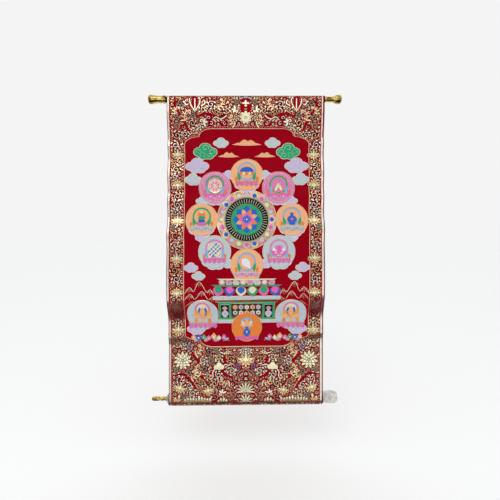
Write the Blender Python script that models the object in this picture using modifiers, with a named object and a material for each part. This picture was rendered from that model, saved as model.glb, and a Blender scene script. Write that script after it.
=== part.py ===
"""Hanging scroll of woven brocade, on a slim rod at the top and a thick roller at the bottom.

Metres, +Z up. The origin is the middle of the top rod's axis. The cloth's face looks along -Y,
the wall is on the +Y side, and +X is to the right of someone who faces the scroll.
"""

from collections import namedtuple
from math import acos, atan2, cos, hypot, pi, radians, sin, tan

import bmesh
import bpy

MM = 0.001

# Cloth: one woven length, its sides hemmed and its two ends turned into sleeves
CLOTH_WIDTH = 459.5 * MM
CLOTH_THICK = 1.2 * MM
HEM_WIDTH = 10 * MM
HEM_THICK = 1.8 * MM
HEM_STEP = 1 * MM
INNER_COLUMNS = 8
BODY_ROWS = 96
FLAP_GAP = 0.3 * MM

# Top rod and the sleeve around it
TOP_SLEEVE_RADIUS = 10.2 * MM
TOP_ROD_RADIUS = 8.0 * MM
TOP_FLAP_FROM = 27 * MM
TOP_FLAP_TO = 48 * MM

# Bottom roller and its sleeve. The roller hangs with its right end a little higher
ROLLER_DROP = 892 * MM
ROLLER_FORWARD = 7 * MM
ROLLER_TILT = radians(0.65)
ROLLER_RADIUS = 18.2 * MM
BOTTOM_SLEEVE_RADIUS = 20.4 * MM
BOTTOM_FLAP_FROM = 46 * MM
BOTTOM_FLAP_TO = 70 * MM

# Where the rods end and their finials begin, from the middle of the cloth
TOP_ROD_LEFT = 233.8 * MM
TOP_ROD_RIGHT = 231.8 * MM
ROLLER_LEFT = 230.8 * MM
ROLLER_RIGHT = 232.0 * MM
SEAT_GAP = 0.3 * MM

# How finely round shapes are cut, and the edges that stay sharp on them
TURNED_STEPS = 28
ROD_SIDES = 32
ARC_STEP = radians(15)
SHARP_ANGLE = radians(40)
POLE_MERGE = 0.05 * MM

# The face's folds, from the rod to the roller: drop below the rod's axis, and how far the face
# stands in front of that axis, both in millimetres. Between two rows the face curves smoothly.
# The folds run up a little to the right, and the face ripples slightly across its width too.
FOLD_SKEW = 0.035
SIDE_RIPPLE = 0.8 * MM
SIDE_RIPPLE_LENGTH = 310 * MM
Fold = namedtuple("Fold", "drop stand_off")
FOLDS = (
    Fold(0, 10.2),
    Fold(40, 11.4),
    Fold(112, 2.4),
    Fold(133, 6.2),
    Fold(163, 2.8),
    Fold(222, 14.4),
    Fold(262, 10.4),
    Fold(294, 20.2),
    Fold(328, 16.4),
    Fold(398, 35.6),
    Fold(424, 33.4),
    Fold(505, 42.4),
    Fold(574, 43.8),
    Fold(651, 20.2),
    Fold(668, 20.0),
    Fold(692, 23.2),
    Fold(718, 18.6),
    Fold(768, 21.4),
    Fold(828, 25.2),
    Fold(892, 27.4),
)

# Turned pieces, from the face that meets the rod to the outer end, in millimetres
Turn = namedtuple("Turn", "along radius")
TOP_LEFT_TURNS = (
    Turn(0, 10.0),
    Turn(2, 11.2),
    Turn(6, 11.2),
    Turn(10, 10.3),
    Turn(19, 10.1),
    Turn(31, 11.3),
    Turn(42, 12.9),
    Turn(47, 12.4),
    Turn(50, 10.0),
    Turn(51.2, 6.5),
)
TOP_RIGHT_TURNS = (
    Turn(0, 8.4),
    Turn(2, 9.0),
    Turn(6, 7.9),
    Turn(14, 7.5),
    Turn(23, 7.9),
    Turn(28, 10.8),
    Turn(33, 13.8),
    Turn(41, 14.0),
    Turn(46, 11.2),
    Turn(48.6, 6.5),
)
PEG_TURNS = (
    Turn(0, 5.6),
    Turn(3.5, 6.6),
    Turn(7, 5.0),
    Turn(9, 5.9),
    Turn(15, 6.2),
    Turn(19, 5.3),
    Turn(23, 6.3),
    Turn(34, 6.7),
    Turn(40, 6.2),
    Turn(43.5, 4.6),
    Turn(45, 2.6),
)
COLLAR_TURNS = (
    Turn(0, 20.0),
    Turn(1.6, 19.6),
    Turn(5.0, 14.0),
    Turn(8.2, 9.4),
    Turn(9.4, 7.4),
)
KNOB_TURNS = (
    Turn(0, 16.6),
    Turn(4, 16.4),
    Turn(9, 17.3),
    Turn(16, 18.4),
    Turn(30, 18.4),
    Turn(37, 17.4),
    Turn(42, 14.2),
    Turn(44.6, 9.4),
    Turn(45.2, 6.5),
)

# Colour, roughness and metallic value of each material
Finish = namedtuple("Finish", "colour roughness metallic")
FINISHES = {
    "brocade": Finish((0.36, 0.02, 0.04), 0.55, 0.0),
    "brass": Finish((0.62, 0.44, 0.13), 0.3, 1.0),
    "dark_wood": Finish((0.09, 0.04, 0.025), 0.5, 0.0),
    "grey_knob": Finish((0.46, 0.45, 0.43), 0.45, 0.0),
}


def clear_scene():
    for obj in list(bpy.data.objects):
        bpy.data.objects.remove(obj)


def material(name):
    finish = FINISHES[name]
    made = bpy.data.materials.get(name) or bpy.data.materials.new(name)
    made.use_nodes = True
    shader = made.node_tree.nodes["Principled BSDF"]
    shader.inputs["Base Color"].default_value = (*finish.colour, 1)
    shader.inputs["Roughness"].default_value = finish.roughness
    shader.inputs["Metallic"].default_value = finish.metallic
    return made


def slopes(rows):
    """The slope at each row of a table of (place, height), zero at its ends and at its turns."""
    steps = [(b[1] - a[1]) / (b[0] - a[0]) for a, b in zip(rows, rows[1:])]
    inner = [2 * p * q / (p + q) if p * q > 0 else 0 for p, q in zip(steps, steps[1:])]
    return [0, *inner, 0]


def curve_at(rows, place, ends=None):
    """The height at a place on the smooth curve through the table's rows."""
    slope = slopes(rows)
    if ends:
        slope[0], slope[-1] = ends
    place = min(max(place, rows[0][0]), rows[-1][0])
    index = max(i for i in range(len(rows) - 1) if rows[i][0] <= place)
    (x0, y0), (x1, y1) = rows[index], rows[index + 1]
    span = x1 - x0
    t = (place - x0) / span
    return (
        (1 + 2 * t) * (1 - t) ** 2 * y0
        + t * (1 - t) ** 2 * span * slope[index]
        + t * t * (3 - 2 * t) * y1
        + t * t * (t - 1) * span * slope[index + 1]
    )


def face_stand_off(x, z):
    """How far the cloth's face stands in front of the rod's axis, x across and z up from it."""
    share = min(max(-z / ROLLER_DROP, 0), 1)
    free = 4 * share * (1 - share)
    drop = -z + FOLD_SKEW * x * free
    ripple = SIDE_RIPPLE * free * sin(2 * pi * (x / SIDE_RIPPLE_LENGTH + 2 * share))
    return curve_at(FOLDS, drop / MM) * MM + ripple


def tangent_angle(centre, radius, point, side):
    """The angle on a circle where a line from an outside point touches it, on the given side."""
    away = (point[0] - centre[0], point[1] - centre[1])
    return atan2(away[1], away[0]) + side * acos(radius / hypot(*away))


def arc(centre, radius, start, end):
    """Points on a circle in the plane of stand-off and height, both ends included."""
    count = max(2, round(abs(end - start) / ARC_STEP))
    angles = [start + (end - start) * i / count for i in range(count + 1)]
    return [(centre[0] + radius * cos(a), centre[1] + radius * sin(a)) for a in angles]


def cloth_section(x):
    """The cloth's outer face at one place across it, from the bottom flap's end to the top's.

    It goes down behind the roller, under it, up the front, over the rod and down behind that.
    """
    behind = 2 * HEM_THICK + FLAP_GAP

    def flap(start, end):
        heights = (start, (start + end) / 2, end)
        return [(face_stand_off(x, z) - behind, z) for z in heights]

    rod = (0, 0)
    roller = (ROLLER_FORWARD, -ROLLER_DROP)
    low_flap = flap(BOTTOM_FLAP_TO - ROLLER_DROP, BOTTOM_FLAP_FROM - ROLLER_DROP)
    high_flap = flap(-TOP_FLAP_FROM, -TOP_FLAP_TO)
    leaves = tangent_angle(roller, BOTTOM_SLEEVE_RADIUS, low_flap[-1], 1)
    meets = tangent_angle(rod, TOP_SLEEVE_RADIUS, high_flap[0], -1)
    under = arc(roller, BOTTOM_SLEEVE_RADIUS, leaves, 2 * pi)
    over = arc(rod, TOP_SLEEVE_RADIUS, 0, 2 * pi + meets)
    heights = [ROLLER_DROP * (i / BODY_ROWS - 1) for i in range(1, BODY_ROWS)]
    body = [(face_stand_off(x, z), z) for z in heights]
    return low_flap + under + body + over + high_flap


def cloth_columns():
    """Places across the cloth: its edges, the hems' inner edges and the even columns between."""
    half = CLOTH_WIDTH / 2
    inner = half - HEM_WIDTH - HEM_STEP
    even = [inner * (2 * i / INNER_COLUMNS - 1) for i in range(INNER_COLUMNS + 1)]
    return [-half, HEM_WIDTH - half, *even, half - HEM_WIDTH, half]


def add_cloth(home):
    """The cloth as one sheet: a grid laid on its folds, thickened inwards, thicker at the hems."""
    columns = cloth_columns()
    sections = [cloth_section(x) for x in columns]
    rows = len(sections[0])
    sheet = bmesh.new()
    bmesh.ops.create_grid(sheet, x_segments=len(columns) - 1, y_segments=rows - 1, size=1)
    hem_points = []
    for point in sheet.verts:
        column = round((point.co.x + 1) / 2 * (len(columns) - 1))
        row = round((point.co.y + 1) / 2 * (rows - 1))
        stand_off, height = sections[column][row]
        x = columns[column]
        lift = x * tan(ROLLER_TILT) * min(max(-height / ROLLER_DROP, 0), 1)
        point.co = (x, -stand_off, height + lift)
        if column < 2 or column > len(columns) - 3:
            hem_points.append(point.index)
    mesh = bpy.data.meshes.new("scroll_cloth")
    sheet.to_mesh(mesh)
    sheet.free()
    cloth = bpy.data.objects.new("scroll_cloth", mesh)
    home.objects.link(cloth)
    mesh.materials.append(material("brocade"))
    layers = cloth.vertex_groups.new(name="layers")
    layers.add(range(len(mesh.vertices)), CLOTH_THICK / HEM_THICK, "REPLACE")
    layers.add(hem_points, 1.0, "REPLACE")
    thicken = cloth.modifiers.new("thickness", "SOLIDIFY")
    thicken.thickness = HEM_THICK
    thicken.offset = -1
    thicken.use_even_offset = True
    thicken.vertex_group = layers.name
    mesh.shade_smooth()
    return cloth


def add_rod(home, name, radius, left, right, finish):
    """A dowel along X, from left of the middle to right of it."""
    bpy.ops.mesh.primitive_cylinder_add(vertices=ROD_SIDES, radius=radius, depth=left + right)
    rod = bpy.context.object
    for collection in rod.users_collection:
        collection.objects.unlink(rod)
    home.objects.link(rod)
    rod.name = rod.data.name = name
    rod.rotation_euler = (0, pi / 2, 0)
    rod.location.x = (right - left) / 2
    rod.data.materials.append(material(finish))
    rod.data.shade_smooth()
    rod.data.set_sharp_from_angle(angle=SHARP_ANGLE)
    return rod


def add_turned(home, name, turns, start, finish, finer=3):
    """A lathe-turned piece on the X axis, from a rod's end outwards. start is negative at the left."""
    slope_out = [0, (turns[-1].radius - turns[-2].radius) / (turns[-1].along - turns[-2].along)]
    places = [
        a.along + (b.along - a.along) * i / finer
        for a, b in zip(turns, turns[1:])
        for i in range(finer)
    ]
    places.append(turns[-1].along)
    outline = [(curve_at(turns, place, slope_out) * MM, place * MM) for place in places]
    outline = [(0, 0), *outline, (0, turns[-1].along * MM)]
    profile = bmesh.new()
    points = [profile.verts.new((radius, 0, along)) for radius, along in reversed(outline)]
    for a, b in zip(points, points[1:]):
        profile.edges.new((a, b))
    mesh = bpy.data.meshes.new(name)
    profile.to_mesh(mesh)
    profile.free()
    piece = bpy.data.objects.new(name, mesh)
    home.objects.link(piece)
    mesh.materials.append(material(finish))
    turn = piece.modifiers.new("turned", "SCREW")
    turn.steps = turn.render_steps = TURNED_STEPS
    turn.use_merge_vertices = True
    turn.merge_threshold = POLE_MERGE
    turn.use_smooth_shade = True
    piece.rotation_euler = (0, pi / 2 if start > 0 else -pi / 2, 0)
    piece.location.x = start + (SEAT_GAP if start > 0 else -SEAT_GAP)
    return piece


def hold_on(holder, *pieces):
    for piece in pieces:
        piece.parent = holder


def build():
    clear_scene()
    home = bpy.data.collections.new("hanging_scroll")
    bpy.context.scene.collection.children.link(home)
    add_cloth(home)
    add_rod(home, "top_rod", TOP_ROD_RADIUS, TOP_ROD_LEFT, TOP_ROD_RIGHT, "dark_wood")
    add_turned(home, "top_finial_left", TOP_LEFT_TURNS, -TOP_ROD_LEFT, "brass")
    add_turned(home, "top_finial_right", TOP_RIGHT_TURNS, TOP_ROD_RIGHT, "brass")

    roller_axis = bpy.data.objects.new("roller_axis", None)
    home.objects.link(roller_axis)
    roller_axis.location = (0, -ROLLER_FORWARD, -ROLLER_DROP)
    roller_axis.rotation_euler = (0, -ROLLER_TILT, 0)
    collar_start = -ROLLER_LEFT
    peg_start = collar_start - SEAT_GAP - COLLAR_TURNS[-1].along * MM
    hold_on(
        roller_axis,
        add_rod(home, "bottom_roller", ROLLER_RADIUS, ROLLER_LEFT, ROLLER_RIGHT, "dark_wood"),
        add_turned(home, "bottom_collar_left", COLLAR_TURNS, collar_start, "grey_knob"),
        add_turned(home, "bottom_peg_left", PEG_TURNS, peg_start, "brass", finer=2),
        add_turned(home, "bottom_knob_right", KNOB_TURNS, ROLLER_RIGHT, "grey_knob"),
    )


build()
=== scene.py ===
"""The looks of a hanging scroll of brocade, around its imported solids.

The cloth's patterns are drawn flat, in millimetres from the middle of the top rod, as low closed
pads and ribbons, and then laid on the folds of the cloth's face. A place in the flat drawing is a
complex number: across is its real part and up its imaginary part.
"""

from cmath import phase, rect
from collections import namedtuple
from functools import cache
from math import acos, atan2, ceil, cos, floor, hypot, pi, radians, sin, tan
from random import Random

import bmesh
import bpy
import numpy as np
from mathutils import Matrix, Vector


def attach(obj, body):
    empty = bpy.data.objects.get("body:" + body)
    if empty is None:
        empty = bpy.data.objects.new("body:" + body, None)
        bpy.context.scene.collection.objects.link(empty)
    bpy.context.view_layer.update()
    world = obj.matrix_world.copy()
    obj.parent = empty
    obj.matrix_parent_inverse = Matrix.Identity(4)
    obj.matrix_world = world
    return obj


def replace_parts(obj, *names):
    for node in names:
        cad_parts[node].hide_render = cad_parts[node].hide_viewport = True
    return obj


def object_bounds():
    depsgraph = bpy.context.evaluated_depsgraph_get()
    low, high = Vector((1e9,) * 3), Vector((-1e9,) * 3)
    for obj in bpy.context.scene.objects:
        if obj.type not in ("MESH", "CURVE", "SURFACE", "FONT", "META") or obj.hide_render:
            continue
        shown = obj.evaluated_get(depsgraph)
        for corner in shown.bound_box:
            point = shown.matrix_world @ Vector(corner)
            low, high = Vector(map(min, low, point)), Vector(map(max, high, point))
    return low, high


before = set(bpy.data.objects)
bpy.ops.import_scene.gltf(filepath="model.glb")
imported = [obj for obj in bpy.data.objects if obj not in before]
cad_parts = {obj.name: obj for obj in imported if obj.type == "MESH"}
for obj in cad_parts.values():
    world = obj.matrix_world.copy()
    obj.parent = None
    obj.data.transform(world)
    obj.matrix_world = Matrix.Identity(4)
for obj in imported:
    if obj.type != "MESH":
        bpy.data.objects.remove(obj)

CAD_BOX = [list(corner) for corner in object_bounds()]
MM = 0.001
FULL_TURN = 2 * pi

# The cloth and its two sleeves, in millimetres, as in the solids
CLOTH_WIDTH = 459.5
CLOTH_THICK = 1.2
HEM_WIDTH = 10
HEM_THICK = 1.8
HEM_STEP = 1
FLAP_GAP = 0.3
TOP_SLEEVE_RADIUS = 10.2
TOP_FLAP = (-27, -48)
ROLLER_DROP = 892
ROLLER_FORWARD = 7
ROLLER_TILT = radians(0.65)
BOTTOM_SLEEVE_RADIUS = 20.4
BOTTOM_FLAP = (70 - ROLLER_DROP, 46 - ROLLER_DROP)

# The face's folds: drop below the rod's axis, and how far the face stands in front of it
FOLD_SKEW = 0.035
SIDE_RIPPLE = 0.8
SIDE_RIPPLE_LENGTH = 310
FOLDS = (
    (0, 10.2), (40, 11.4), (112, 2.4), (133, 6.2), (163, 2.8), (222, 14.4), (262, 10.4),
    (294, 20.2), (328, 16.4), (398, 35.6), (424, 33.4), (505, 42.4), (574, 43.8), (651, 20.2),
    (668, 20.0), (692, 23.2), (718, 18.6), (768, 21.4), (828, 25.2), (892, 27.4),
)

# Small creases that only show close to: x, up, direction in degrees, half length, half width, rise
CREASES = (
    (-190, -24, -62, 46, 9, 0.8), (196, -30, 58, 50, 9, 0.7), (-205, -604, 12, 60, 8, -1.0),
    (206, -585, -10, 64, 8, -1.1), (-120, -655, 4, 90, 9, 0.6), (140, -668, -5, 80, 9, 0.6),
    (60, -246, 5, 120, 11, -0.6), (-90, -312, -4, 110, 10, -0.6), (-214, -410, 74, 60, 7, 0.5),
    (214, -480, -76, 70, 7, 0.5), (-212, -840, 80, 50, 7, 0.6), (213, -850, -78, 55, 7, -0.7),
)
HEM_PUCKER = 0.22
HEM_PUCKER_LENGTH = 23
HEM_PUCKER_REACH = 16

# The cloth's own mesh, and how far apart the face's slope is measured
FACE_ROWS = 380
INNER_COLUMNS = 56
WRAP_STEP = radians(6)
SLOPE_REACH = 0.25

# Relief: how deep shapes are sunk in the face, how much each layer rises, and their rounded edge
SUNK = -0.12
LINE_SUNK = 0.08
FIRST_LAYER = 0.14
LAYER = 0.09
EDGE = 0.32
CUT_UP = 5
CUT_ACROSS = 16
UNCUT_SHARE = 1.3
RIBBON_STEP = 2.2
STROKE_EDGE = 2.6
SOFT_ANGLE = radians(52)

# The window of plain ground, the middle of the whole design and the stripes at its edges
MIDDLE = 3
WINDOW_HALF = 183
WINDOW_TOP = -86
WINDOW_BOTTOM = -730
TOP_LOBES = (-WINDOW_HALF - 131j, -141 - 108j, complex(-104, WINDOW_TOP))
LOW_LOBES = (-WINDOW_HALF - 692j, -139 - 708j, complex(-98, WINDOW_BOTTOM))
OUTLINE_WIDTH = 2.0
PATTERN_LEFT = 222
PATTERN_RIGHT = 220
LEFT_STRIPE = (-228.0, -225.0)
RIGHT_STRIPE = (221.0, 227.0)
HIGH_HEM = 224.8
HIGH_HEM_FOOT = -112
# Two dark bands on the cloth where it turns under the roller: painted shade on the roll's underside
FOOT_SHADE_BAND = (-912, -904)
FOOT_SHADE_STEP = 8.2
STITCH_PITCH = 5
STITCHES = range(-218, 216, STITCH_PITCH)
STRIPE_EDGE = 0.3

# How the small curls that fill the border are sized
CURL_LARGEST = 12.5
SMALLEST_PAIRED = 1.9
CURL_SMALLEST = 1.5
CURL_GAP = 0.3
RANDOM_SEED = 11


# Finishes. Colours are linear. weft and warp are thread pitches in millimetres

Thread = namedtuple("Thread", "roughness metallic weft warp relief")
SATIN = Thread(0.62, 0.0, 0.5, 0.34, 0.4)
SILK = Thread(0.6, 0.0, 0.55, 1.6, 0.5)
METAL = Thread(0.3, 1.0, 0.6, 1.9, 0.5)
FINISHES = {
    "crimson": (SATIN, (0.30, 0.0008, 0.0085)),
    "maroon": (SATIN, (0.13, 0.002, 0.014)),
    "gold": (METAL, (0.95, 0.80, 0.48)),
    "pale_gold": (METAL, (1.0, 0.93, 0.72)),
    "deep_gold": (METAL, (0.70, 0.46, 0.22)),
    "rose": (METAL, (0.66, 0.34, 0.22)),
    "selvedge": (METAL, (0.90, 0.78, 0.68)),
    "cream": (SILK, (0.78, 0.72, 0.53)),
    # Near-black, for painted shade: along the left edge where it turns back, and under the roller
    "hem_thread": (SILK, (0.055, 0.02, 0.04)),
    "sage": (SILK, (0.36, 0.38, 0.26)),
    "dark_green": (SILK, (0.016, 0.03, 0.018)),
    "mauve": (SILK, (0.36, 0.22, 0.36)),
    "ink": (SILK, (0.010, 0.010, 0.012)),
    "dusk": (SILK, (0.20, 0.06, 0.045)),
    "emerald": (SILK, (0.035, 0.36, 0.17)),
    "cobalt": (SILK, (0.035, 0.13, 0.56)),
    "sky": (SILK, (0.24, 0.43, 0.72)),
    "lavender": (SILK, (0.56, 0.48, 0.70)),
    "pink": (SILK, (0.72, 0.22, 0.44)),
    "hot_pink": (SILK, (0.83, 0.13, 0.47)),
    "peach": (SILK, (0.90, 0.42, 0.21)),
    "orange": (SILK, (0.82, 0.23, 0.05)),
    "marigold": (SILK, (0.80, 0.36, 0.04)),
    "mist": (SILK, (0.50, 0.57, 0.64)),
    "white": (SILK, (0.82, 0.82, 0.84)),
}
BAND_SCALE = 0.1 * pi
WARP_SHARE = 0.45
PUFF_RISE = 22.0
PUFF_SCALE = 170.0
FINEST_RELIEF = 0.06
TINT = 2.5
REVERSE_STOPS = (
    (0.30, (0.045, 0.012, 0.014)), (0.46, (0.20, 0.018, 0.024)), (0.56, (0.30, 0.13, 0.06)),
    (0.64, (0.17, 0.02, 0.03)), (0.74, (0.10, 0.12, 0.10)),
)
BRASS_STOPS = ((0.36, (0.10, 0.065, 0.014)), (0.5, (0.50, 0.35, 0.085)), (0.66, (0.80, 0.62, 0.22)))
GREY_STOPS = ((0.34, (0.42, 0.41, 0.385)), (0.5, (0.68, 0.67, 0.64)), (0.66, (0.86, 0.85, 0.83)))
GREY = (0.72, 0.71, 0.68)
# How much darker the left collar's grey is than the right knob's: painted shade for the roller's shaded
# left end
PAINTED_SHADE_DIMMING = 0.42


def feed(made, inputs):
    """Sets a node's inputs. Another node's output is linked, and anything else is a plain value."""
    for name, value in inputs.items():
        if isinstance(value, bpy.types.NodeSocket):
            made.id_data.links.new(value, made.inputs[name])
        else:
            made.inputs[name].default_value = value


def node(tree, kind, inputs, **settings):
    made = tree.nodes.new(kind)
    for name, value in settings.items():
        setattr(made, name, value)
    feed(made, inputs)
    return made


def new_material(name, colour, roughness, metallic=0.0):
    """A material, its nodes, its shader, and the place on the object that its pattern follows."""
    made = bpy.data.materials.new(name)
    made.use_nodes = True
    made.diffuse_color = (*colour, 1)
    tree = made.node_tree
    shader = tree.nodes["Principled BSDF"]
    feed(shader, {"Base Color": (*colour, 1), "Roughness": roughness, "Metallic": metallic})
    if not metallic:
        feed(shader, {"Specular Tint": (*[min(1, TINT * c) for c in colour], 1)})
    return made, tree, shader, node(tree, "ShaderNodeTexCoord", {}).outputs["Object"]


def threads(tree, where, direction, pitch):
    """Ridges a thread's width apart, across one direction."""
    inputs = {"Vector": where, "Scale": BAND_SCALE / (pitch * MM)}
    return node(tree, "ShaderNodeTexWave", inputs, bands_direction=direction).outputs["Fac"]


def noise(tree, where, scale, detail, roughness=0.5):
    inputs = {"Vector": where, "Scale": scale, "Detail": detail, "Roughness": roughness}
    return node(tree, "ShaderNodeTexNoise", inputs).outputs["Fac"]


def stretched(tree, where, scale):
    return node(tree, "ShaderNodeMapping", {"Vector": where, "Scale": scale}).outputs["Vector"]


def add_share(tree, part, share, rest):
    inputs = {0: part, 1: share, 2: rest}
    return node(tree, "ShaderNodeMath", inputs, operation="MULTIPLY_ADD").outputs[0]


def ramp(tree, place, stops):
    made = node(tree, "ShaderNodeValToRGB", {"Fac": place})
    elements = made.color_ramp.elements
    while len(elements) < len(stops):
        elements.new(1)
    for element, (position, colour) in zip(elements, stops):
        element.position = position
        element.color = (*colour, 1)
    return made.outputs["Color"]


def bump(tree, shader, height, strength, depth):
    inputs = {"Height": height, "Strength": strength, "Distance": depth * MM}
    feed(shader, {"Normal": node(tree, "ShaderNodeBump", inputs).outputs["Normal"]})


def vary_colour(tree, where, colour, amount, stretch):
    """A colour that drifts lighter and darker, in streaks or blotches."""
    inputs = {
        "Factor": noise(tree, stretched(tree, where, stretch), 1.0, 3.0, 0.6),
        6: (*[c * (1 - amount) for c in colour], 1),
        7: (*[min(1, c * (1 + amount)) for c in colour], 1),
    }
    return node(tree, "ShaderNodeMix", inputs, data_type="RGBA").outputs[2]


def woven(name):
    """Silk or metal thread: weft floats across, held by finer warp, and a colour that drifts."""
    thread, colour = FINISHES[name]
    made, tree, shader, where = new_material("woven_" + name, colour, thread.roughness, thread.metallic)
    warp, weft = threads(tree, where, "X", thread.warp), threads(tree, where, "Z", thread.weft)
    height = add_share(tree, warp, WARP_SHARE, weft)
    if thread.metallic:
        height = add_share(tree, noise(tree, where, PUFF_SCALE, 2.0, 0.6), PUFF_RISE, height)
    bump(tree, shader, height, thread.relief, FINEST_RELIEF)
    feed(shader, {"Base Color": vary_colour(tree, where, colour, 0.12, (60, 60, 900))})
    return made


def reverse_side():
    """The back of the brocade: dull red with long loose floats of every colour lying across."""
    made, tree, shader, where = new_material("brocade_reverse", (0.24, 0.035, 0.03), 0.75)
    floats = noise(tree, stretched(tree, where, (22, 22, 1500)), 1.0, 4.0, 0.7)
    feed(shader, {"Sheen Weight": 0.2, "Base Color": ramp(tree, floats, REVERSE_STOPS)})
    bump(tree, shader, floats, 0.7, 0.12)
    return made


def brass():
    """Turned brass: fine tool rings around it, and a tarnish that darkens and dulls it in places."""
    made, tree, shader, where = new_material("turned_brass", (0.58, 0.42, 0.12), 0.24, 1.0)
    tarnish = noise(tree, where, 70.0, 5.0, 0.65)
    span = {"Value": tarnish, "From Min": 0.3, "From Max": 0.7, "To Min": 0.34, "To Max": 0.12}
    rough = node(tree, "ShaderNodeMapRange", span).outputs["Result"]
    feed(shader, {"Base Color": ramp(tree, tarnish, BRASS_STOPS), "Roughness": rough})
    bump(tree, shader, threads(tree, where, "X", 0.45), 0.25, 0.04)
    return made


def stained_wood():
    colour = (0.06, 0.025, 0.014)
    made, tree, shader, where = new_material("stained_wood", colour, 0.5)
    feed(shader, {"Base Color": vary_colour(tree, where, colour, 0.5, (8, 260, 260))})
    return made


def grey_resin(name, shade):
    """A satin grey like polished resin: faint clouds in it, and fine scuffs. shade below 1 darkens all
    its colours, as painted shade.
    """
    made, tree, shader, where = new_material(name, [c * shade for c in GREY], 0.36)
    stops = [(place, [c * shade for c in colour]) for place, colour in GREY_STOPS]
    feed(shader, {"Base Color": ramp(tree, noise(tree, where, 90.0, 6.0, 0.7), stops)})
    bump(tree, shader, noise(tree, where, 1400.0, 2.0), 0.12, 0.05)
    return made


MAKERS = {
    "reverse": reverse_side,
    "brass": brass,
    "wood": stained_wood,
    "grey": lambda: grey_resin("pale_grey_resin", 1),
    "dim_grey": lambda: grey_resin("grey_resin_in_painted_shade", PAINTED_SHADE_DIMMING),
}


@cache
def material(name):
    return MAKERS[name]() if name in MAKERS else woven(name)


def new_piece(name, data):
    piece = bpy.data.objects.new(name, data)
    bpy.context.scene.collection.objects.link(piece)
    return piece


# The cloth's face

def curve_at(rows, place):
    """Heights on the smooth curve through a table of (place, height), level at its turns."""
    places, heights = np.array(rows, float).T
    steps = np.diff(heights) / np.diff(places)
    product = steps[:-1] * steps[1:]
    total = np.where(product > 0, steps[:-1] + steps[1:], 1)
    slope = np.concatenate([[0], np.where(product > 0, 2 * product / total, 0), [0]])
    place = np.clip(place, places[0], places[-1])
    index = np.clip(np.searchsorted(places, place, side="right") - 1, 0, len(places) - 2)
    span = places[index + 1] - places[index]
    t = (place - places[index]) / span
    return (
        (1 + 2 * t) * (1 - t) ** 2 * heights[index]
        + t * (1 - t) ** 2 * span * slope[index]
        + t * t * (3 - 2 * t) * heights[index + 1]
        + t * t * (t - 1) * span * slope[index + 1]
    )


def small_creases(x, up):
    rise = np.zeros_like(x, float)
    for middle, level, angle, half_length, half_width, height in CREASES:
        turn = radians(angle)
        along = (x - middle) * cos(turn) + (up - level) * sin(turn)
        across = (up - level) * cos(turn) - (x - middle) * sin(turn)
        rise += height * np.exp(-(along / half_length) ** 2 - (across / half_width) ** 2)
    edge = CLOTH_WIDTH / 2 - np.abs(x)
    pucker = np.sin(FULL_TURN * up / HEM_PUCKER_LENGTH + 1.7 * np.sin(up / 41))
    return rise + HEM_PUCKER * pucker * np.exp(-np.maximum(edge, 0) / HEM_PUCKER_REACH)


def stand_off(x, up):
    """How far the face stands in front of the top rod's axis, at a place across and up."""
    share = np.clip(-up / ROLLER_DROP, 0, 1)
    free = 4 * share * (1 - share)
    drop = -up + FOLD_SKEW * x * free
    ripple = SIDE_RIPPLE * np.sin(FULL_TURN * (x / SIDE_RIPPLE_LENGTH + 2 * share))
    return curve_at(FOLDS, drop) + free * ripple + np.minimum(free * 6, 1) * small_creases(x, up)


def roller_lift(x, height):
    """How much the roller's tilt lifts a place: nothing at the rod, all of it at the roller."""
    return x * tan(ROLLER_TILT) * np.clip(-height / ROLLER_DROP, 0, 1)


def on_cloth(points):
    """Places in metres for points given as x, up along the face and rise above it, in millimetres.

    Past the rod's axis the face goes back over the rod and down its flap. Past the roller's it goes
    under that and up the other flap.
    """
    x, up, rise = np.asarray(points, float).T
    level = np.clip(up, -ROLLER_DROP, 0)
    reach = SLOPE_REACH
    across = (stand_off(x + reach, level) - stand_off(x - reach, level)) / (2 * reach)
    upward = (stand_off(x, level + reach) - stand_off(x, level - reach)) / (2 * reach)
    length = np.sqrt(1 + across**2 + upward**2)
    side = x - rise * across / length
    forward = stand_off(x, level) + rise / length
    height = level - rise * upward / length
    ends = ((up, OVER_ROD, 1), (-ROLLER_DROP - up, UNDER_ROLLER, -1))
    for run, table, hand in ends:
        past = run > 0
        if past.any():
            side[past] = x[past]
            forward[past], height[past] = past_end(table, x[past], run[past], rise[past], hand)
    return np.stack([side, -forward, height + roller_lift(x, height)], axis=1) * MM


def tangent_angle(centre, radius, point, side):
    away = (point[0] - centre[0], point[1] - centre[1])
    return atan2(away[1], away[0]) + side * acos(radius / hypot(*away))


def arc_around(centre, radius, start, end):
    count = max(2, ceil(abs(end - start) / WRAP_STEP))
    angles = np.linspace(start, end, count + 1)
    return np.stack([centre[0] + radius * np.cos(angles), centre[1] + radius * np.sin(angles)], axis=1)


def cloth_parts(x):
    """The outer face at one place across: low flap and wrap, front, high wrap and flap."""
    behind = 2 * HEM_THICK + FLAP_GAP

    def face(heights, back=0):
        return np.stack([stand_off(np.full(len(heights), x), heights) - back, heights], axis=1)

    rod = (0, 0)
    roller = (ROLLER_FORWARD, -ROLLER_DROP)
    low_flap = face(np.linspace(*BOTTOM_FLAP, 6), behind)
    high_flap = face(np.linspace(*TOP_FLAP, 6), behind)
    leaves = tangent_angle(roller, BOTTOM_SLEEVE_RADIUS, low_flap[-1], 1)
    meets = tangent_angle(rod, TOP_SLEEVE_RADIUS, high_flap[0], -1)
    under = arc_around(roller, BOTTOM_SLEEVE_RADIUS, leaves, FULL_TURN)
    over = arc_around(rod, TOP_SLEEVE_RADIUS, 0, FULL_TURN + meets)
    body = face(np.linspace(-ROLLER_DROP, 0, FACE_ROWS + 1)[1:-1])
    return np.concatenate([low_flap, under]), body, np.concatenate([over, high_flap])


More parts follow.
